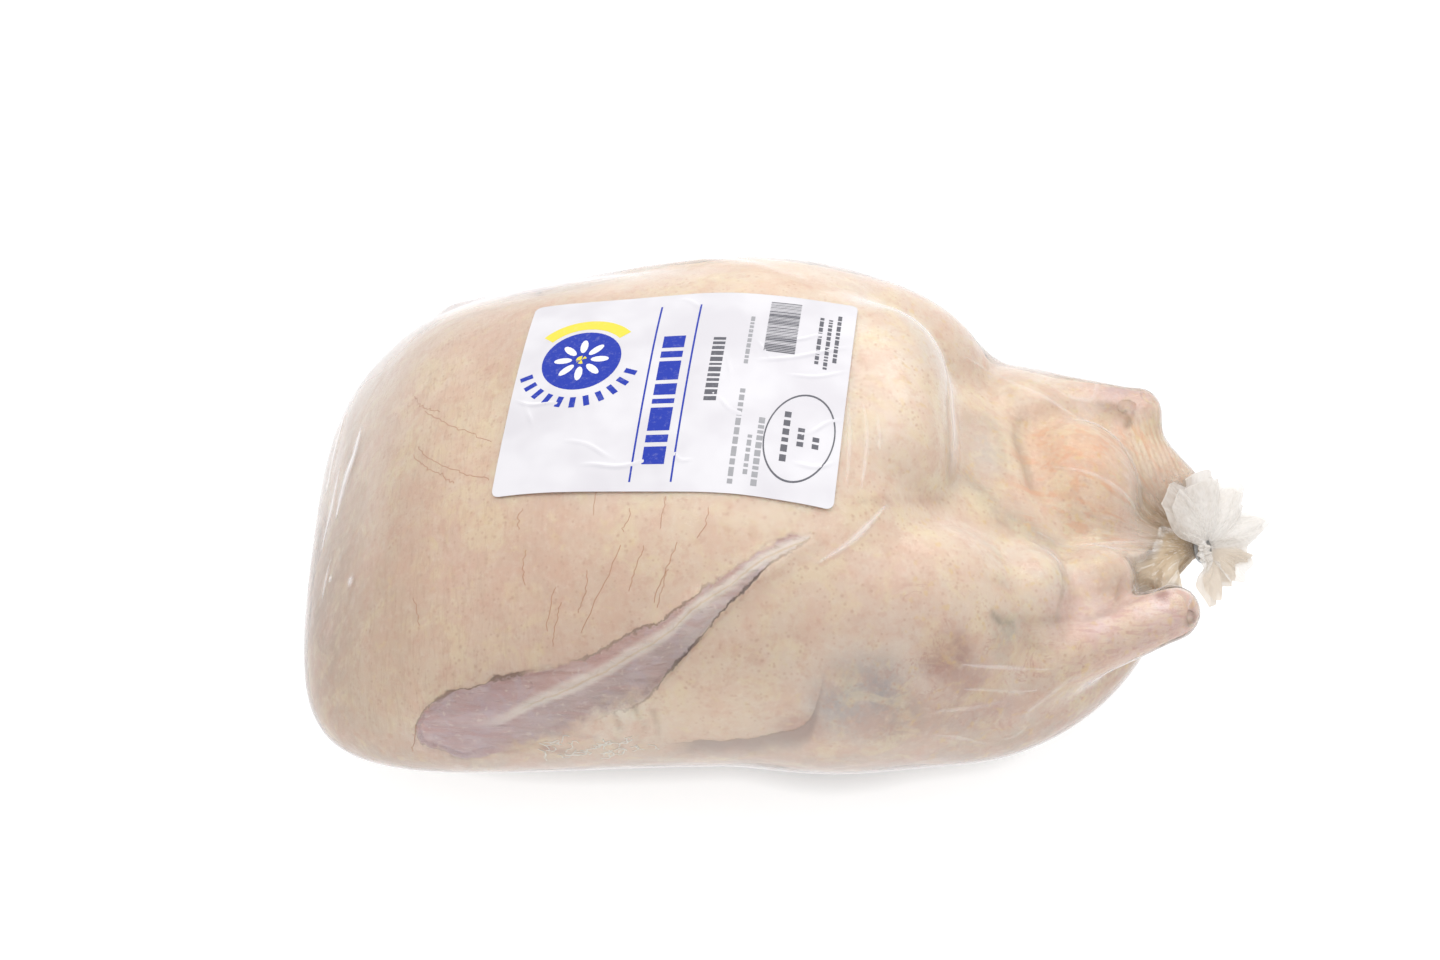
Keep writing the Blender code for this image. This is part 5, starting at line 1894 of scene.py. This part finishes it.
# %% Bars by Geometry Nodes
NARROWEST_WIDEST = {"Min": 0.25, "Max": 1.0}
bars_group, inside_group, outside_group = new_group("bars on paper", (
    ("Count", "NodeSocketInt", 30),
    ("Pitch", "NodeSocketFloat", 0.001),
    ("Length", "NodeSocketFloat", 0.012),
    ("Widest", "NodeSocketFloat", 0.0008),
    ("Start", "NodeSocketVector", None),
    ("Turn", "NodeSocketFloat", 0.0),
    ("Height", "NodeSocketFloat", 0.0001),
    ("Seed", "NodeSocketInt", 3),
    ("Paper", "NodeSocketObject", None),
    ("Material", "NodeSocketMaterial", None),
))
step = node(bars_group, "ShaderNodeCombineXYZ", None, Y=inside_group["Pitch"]).outputs[0]
line_points = geometry(
    bars_group, "MeshLine", {"mode": "OFFSET"}, Count=inside_group["Count"], Offset=step
)[0]
bar = geometry(
    bars_group, "MeshGrid", Size_X=inside_group["Length"], Size_Y=inside_group["Widest"],
    Vertices_X=9, Vertices_Y=2,
)[0]
width = node(bars_group, "FunctionNodeRandomValue", {"data_type": "FLOAT"})
for socket in width.inputs:
    if socket.type == "VALUE" and socket.name in NARROWEST_WIDEST:
        socket.default_value = NARROWEST_WIDEST[socket.name]
    if socket.name == "Seed":
        bars_group.links.new(inside_group["Seed"], socket)
width_out = next(s for s in width.outputs if s.type == "VALUE")
bar_scale = node(bars_group, "ShaderNodeCombineXYZ", None, X=1.0, Y=width_out, Z=1.0).outputs[0]
placed = geometry(bars_group, "InstanceOnPoints", Points=line_points, Instance=bar, Scale=bar_scale)[0]
real = geometry(bars_group, "RealizeInstances", Geometry=placed)[0]
turn_vector = node(bars_group, "ShaderNodeCombineXYZ", None, Z=inside_group["Turn"]).outputs[0]
in_place = geometry(
    bars_group, "Transform", Geometry=real, Translation=inside_group["Start"], Rotation=turn_vector
)[0]
paper_mesh = geometry(
    bars_group, "ObjectInfo", {"transform_space": "RELATIVE"}, Object=inside_group["Paper"]
)["Geometry"]
down = geometry(bars_group, "Raycast", i0=paper_mesh, Ray_Direction=(0, 0, -1), Ray_Length=1.0)
lifted = node(bars_group, "ShaderNodeCombineXYZ", None, Z=inside_group["Height"]).outputs[0]
landing = vector_math(bars_group, "ADD", down["Hit Position"], lifted)[0]
dropped = geometry(bars_group, "SetPosition", Geometry=in_place, Position=landing)[0]
painted = geometry(bars_group, "SetMaterial", Geometry=dropped, Material=inside_group["Material"])[0]
bars_group.links.new(painted, outside_group.inputs[0])

# %% The block of bars on the label
BARS_START = (0.0355, 0.0155)
holder = bpy.data.objects.new("bars_holder", bpy.data.meshes.new("bars_holder"))
scene.collection.objects.link(holder)
x, y = label_place(*BARS_START)
start = Vector((x + SHIFT[0], y + SHIFT[1], ABOVE_ALL))
bars = run_group(holder, bars_group, "label_bars", {
    "Count": 34, "Pitch": 0.00082, "Length": 0.0115, "Widest": 0.00066, "Start": start,
    "Turn": LABEL_TURN, "Height": 0.00006, "Seed": 3, "Paper": label,
    "Material": grey.data.materials[0],
})
bpy.data.objects.remove(holder)
print("bars:", len(bars.data.polygons), "faces")

# %% [markdown]
# ## Cracks in the skin
#
# Where the skin dried or stretched it has fine red-brown cracks. Each is a thin wire that
# follows the skin, half sunk in it, and tapers at both ends.

# %% Lines laid on the skin
skin_tree = BVHTree.FromPolygons(points_of(skin).tolist(), [p.vertices for p in skin.data.polygons])


def on_skin(x_mm, degrees, side, height=0.0):
    """The skin's point at X and at an angle from straight up, on the near (-1) or far side."""
    turn = math.radians(degrees + FAR_SIDE_DROP * (side > 0))
    out = Vector((0, side * math.sin(turn), math.cos(turn)))
    start = Vector((x_mm / 1000, 0, AXIS_HEIGHT)) + ABOVE_ALL * out
    hit, normal = skin_tree.ray_cast(start, -out)[:2]
    if hit is None:
        hit, normal = skin_tree.find_nearest(start)[:2]
    return np.array(hit + normal * height)


def plain_material(name, color, roughness):
    material, tree, shader, _ = material_tree(name)
    set_inputs(tree, shader, Base_Color=(*color, 1), Roughness=roughness)
    return material


# Cracks: the two ends as X in millimetres and degrees, near side
CRACKS = (
    ((-95, 47), (-95, 55)), ((-84, 55), (-87, 64)), ((-73, 51), (-76, 60)), ((-61, 45), (-75, 64)),
    ((-53, 45), (-58, 55)), ((-41, 44), (-49, 57)), ((-44, 50), (-48, 58)), ((-82, 58), (-85, 67)),
    ((-137, 63), (-134, 68)), ((-178, 84), (-174, 90)), ((-70, 30), (-71, 38)), ((-97, 36), (-98, 42)),
    ((-45, 33), (-47, 41)), ((-30, 36), (-34, 43)), ((-58, 36), (-60, 42)),
)
# Reddish hairlines beside the label: places in millimetres
HAIRLINES = (
    ((-138, 18, 111), (-131, 9, 116), (-123, 1, 121), (-111, -9, 126)),
    ((-140, 1, 110), (-134, -8, 114), (-125, -16, 119), (-117, -22, 122), (-110, -26, 126)),
    ((-142, -2, 109), (-136, -11, 113), (-129, -18, 117), (-124, -23, 119)),
    ((-144, 30, 104), (-139, 21, 109), (-132, 14, 115)),
)
CRACK_STEPS = 14
CRACK_RADIUS = 0.00014
HAIRLINE_STEPS = 24
draw = np.random.default_rng(61)
crack_lines = []
for (x0, a0), (x1, a1) in CRACKS:
    wander = np.cumsum(draw.normal(0, 0.34, CRACK_STEPS + 1))
    wander = wander - np.linspace(wander[0], wander[-1], CRACK_STEPS + 1)
    line = []
    for step in range(CRACK_STEPS + 1):
        share = step / CRACK_STEPS
        x = x0 + share * (x1 - x0) + wander[step]
        place = on_skin(x, a0 + share * (a1 - a0), -1)
        line.append((place, 0.15 + 0.85 * math.sin(math.pi * share) * draw.uniform(0.45, 1.0)))
    crack_lines.append(line)
for places_mm in HAIRLINES:
    spots = smooth_line(places_mm, HAIRLINE_STEPS) + 0.0004 * draw.normal(size=(HAIRLINE_STEPS, 3))
    spots = [np.array(skin_tree.find_nearest(Vector(spot))[0]) for spot in spots]
    crack_lines.append([(spot, 0.55 * draw.uniform(0.4, 1.0)) for spot in spots])
crack_material = plain_material("skin crack", (0.62, 0.34, 0.2), 0.6)
cracks = wires("skin_cracks", crack_lines, CRACK_RADIUS, 6, crack_material)
print("cracks:", len(crack_lines))

# %% Torn threads of membrane under the wing
THREADS = 60
THREAD_RADIUS = 0.00022
THREAD_HEIGHT = 0.00012
THREAD_STEPS = 8
draw = np.random.default_rng(62)
thread_lines = []
for _ in range(THREADS):
    side = draw.choice((-1, 1))
    x, degrees = draw.uniform(-96, -50), draw.uniform(90.5, 97)
    heading = draw.uniform(-0.6, 0.6)
    line = []
    for step in range(THREAD_STEPS + 1):
        thickness = 0.6 + 0.4 * math.sin(math.pi * step / THREAD_STEPS)
        line.append((on_skin(x, degrees, side, THREAD_HEIGHT), thickness))
        heading += draw.normal(0, 0.7)
        x += 0.8 * math.cos(heading)
        degrees += 0.5 * math.sin(heading)
    thread_lines.append(line)
thread_material = plain_material("torn membrane", (0.95, 0.93, 0.87), 0.4)
threads = wires("torn_threads", thread_lines, THREAD_RADIUS, 5, thread_material)

# %% [markdown]
# ## Pieces on one body
#
# Each piece rides on the one body, and the imported nodes that the pieces stand for are hidden.

# %% Pieces, bodies and slots
SLOTS = {
    "skin_under_film": [skin, film, *ruffle_pieces, cracks, threads],
    "label_paper": [label, blue, yellow, white_ink, grey, pale_grey, bars],
    "clip_wire": [clip],
}
for slot_name, pieces in SLOTS.items():
    for piece in pieces:
        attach(piece, "root")
for piece in (skin, film, *ruffle_pieces):
    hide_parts("bagged_duck")
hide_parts("label")
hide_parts("clip")

# %% The visual model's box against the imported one
low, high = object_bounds()
over = [round(1000 * max(a - b, c - d), 2) for a, b, c, d in zip(cad_low, low, high, cad_high)]
print("beyond the packed box in mm:", over)
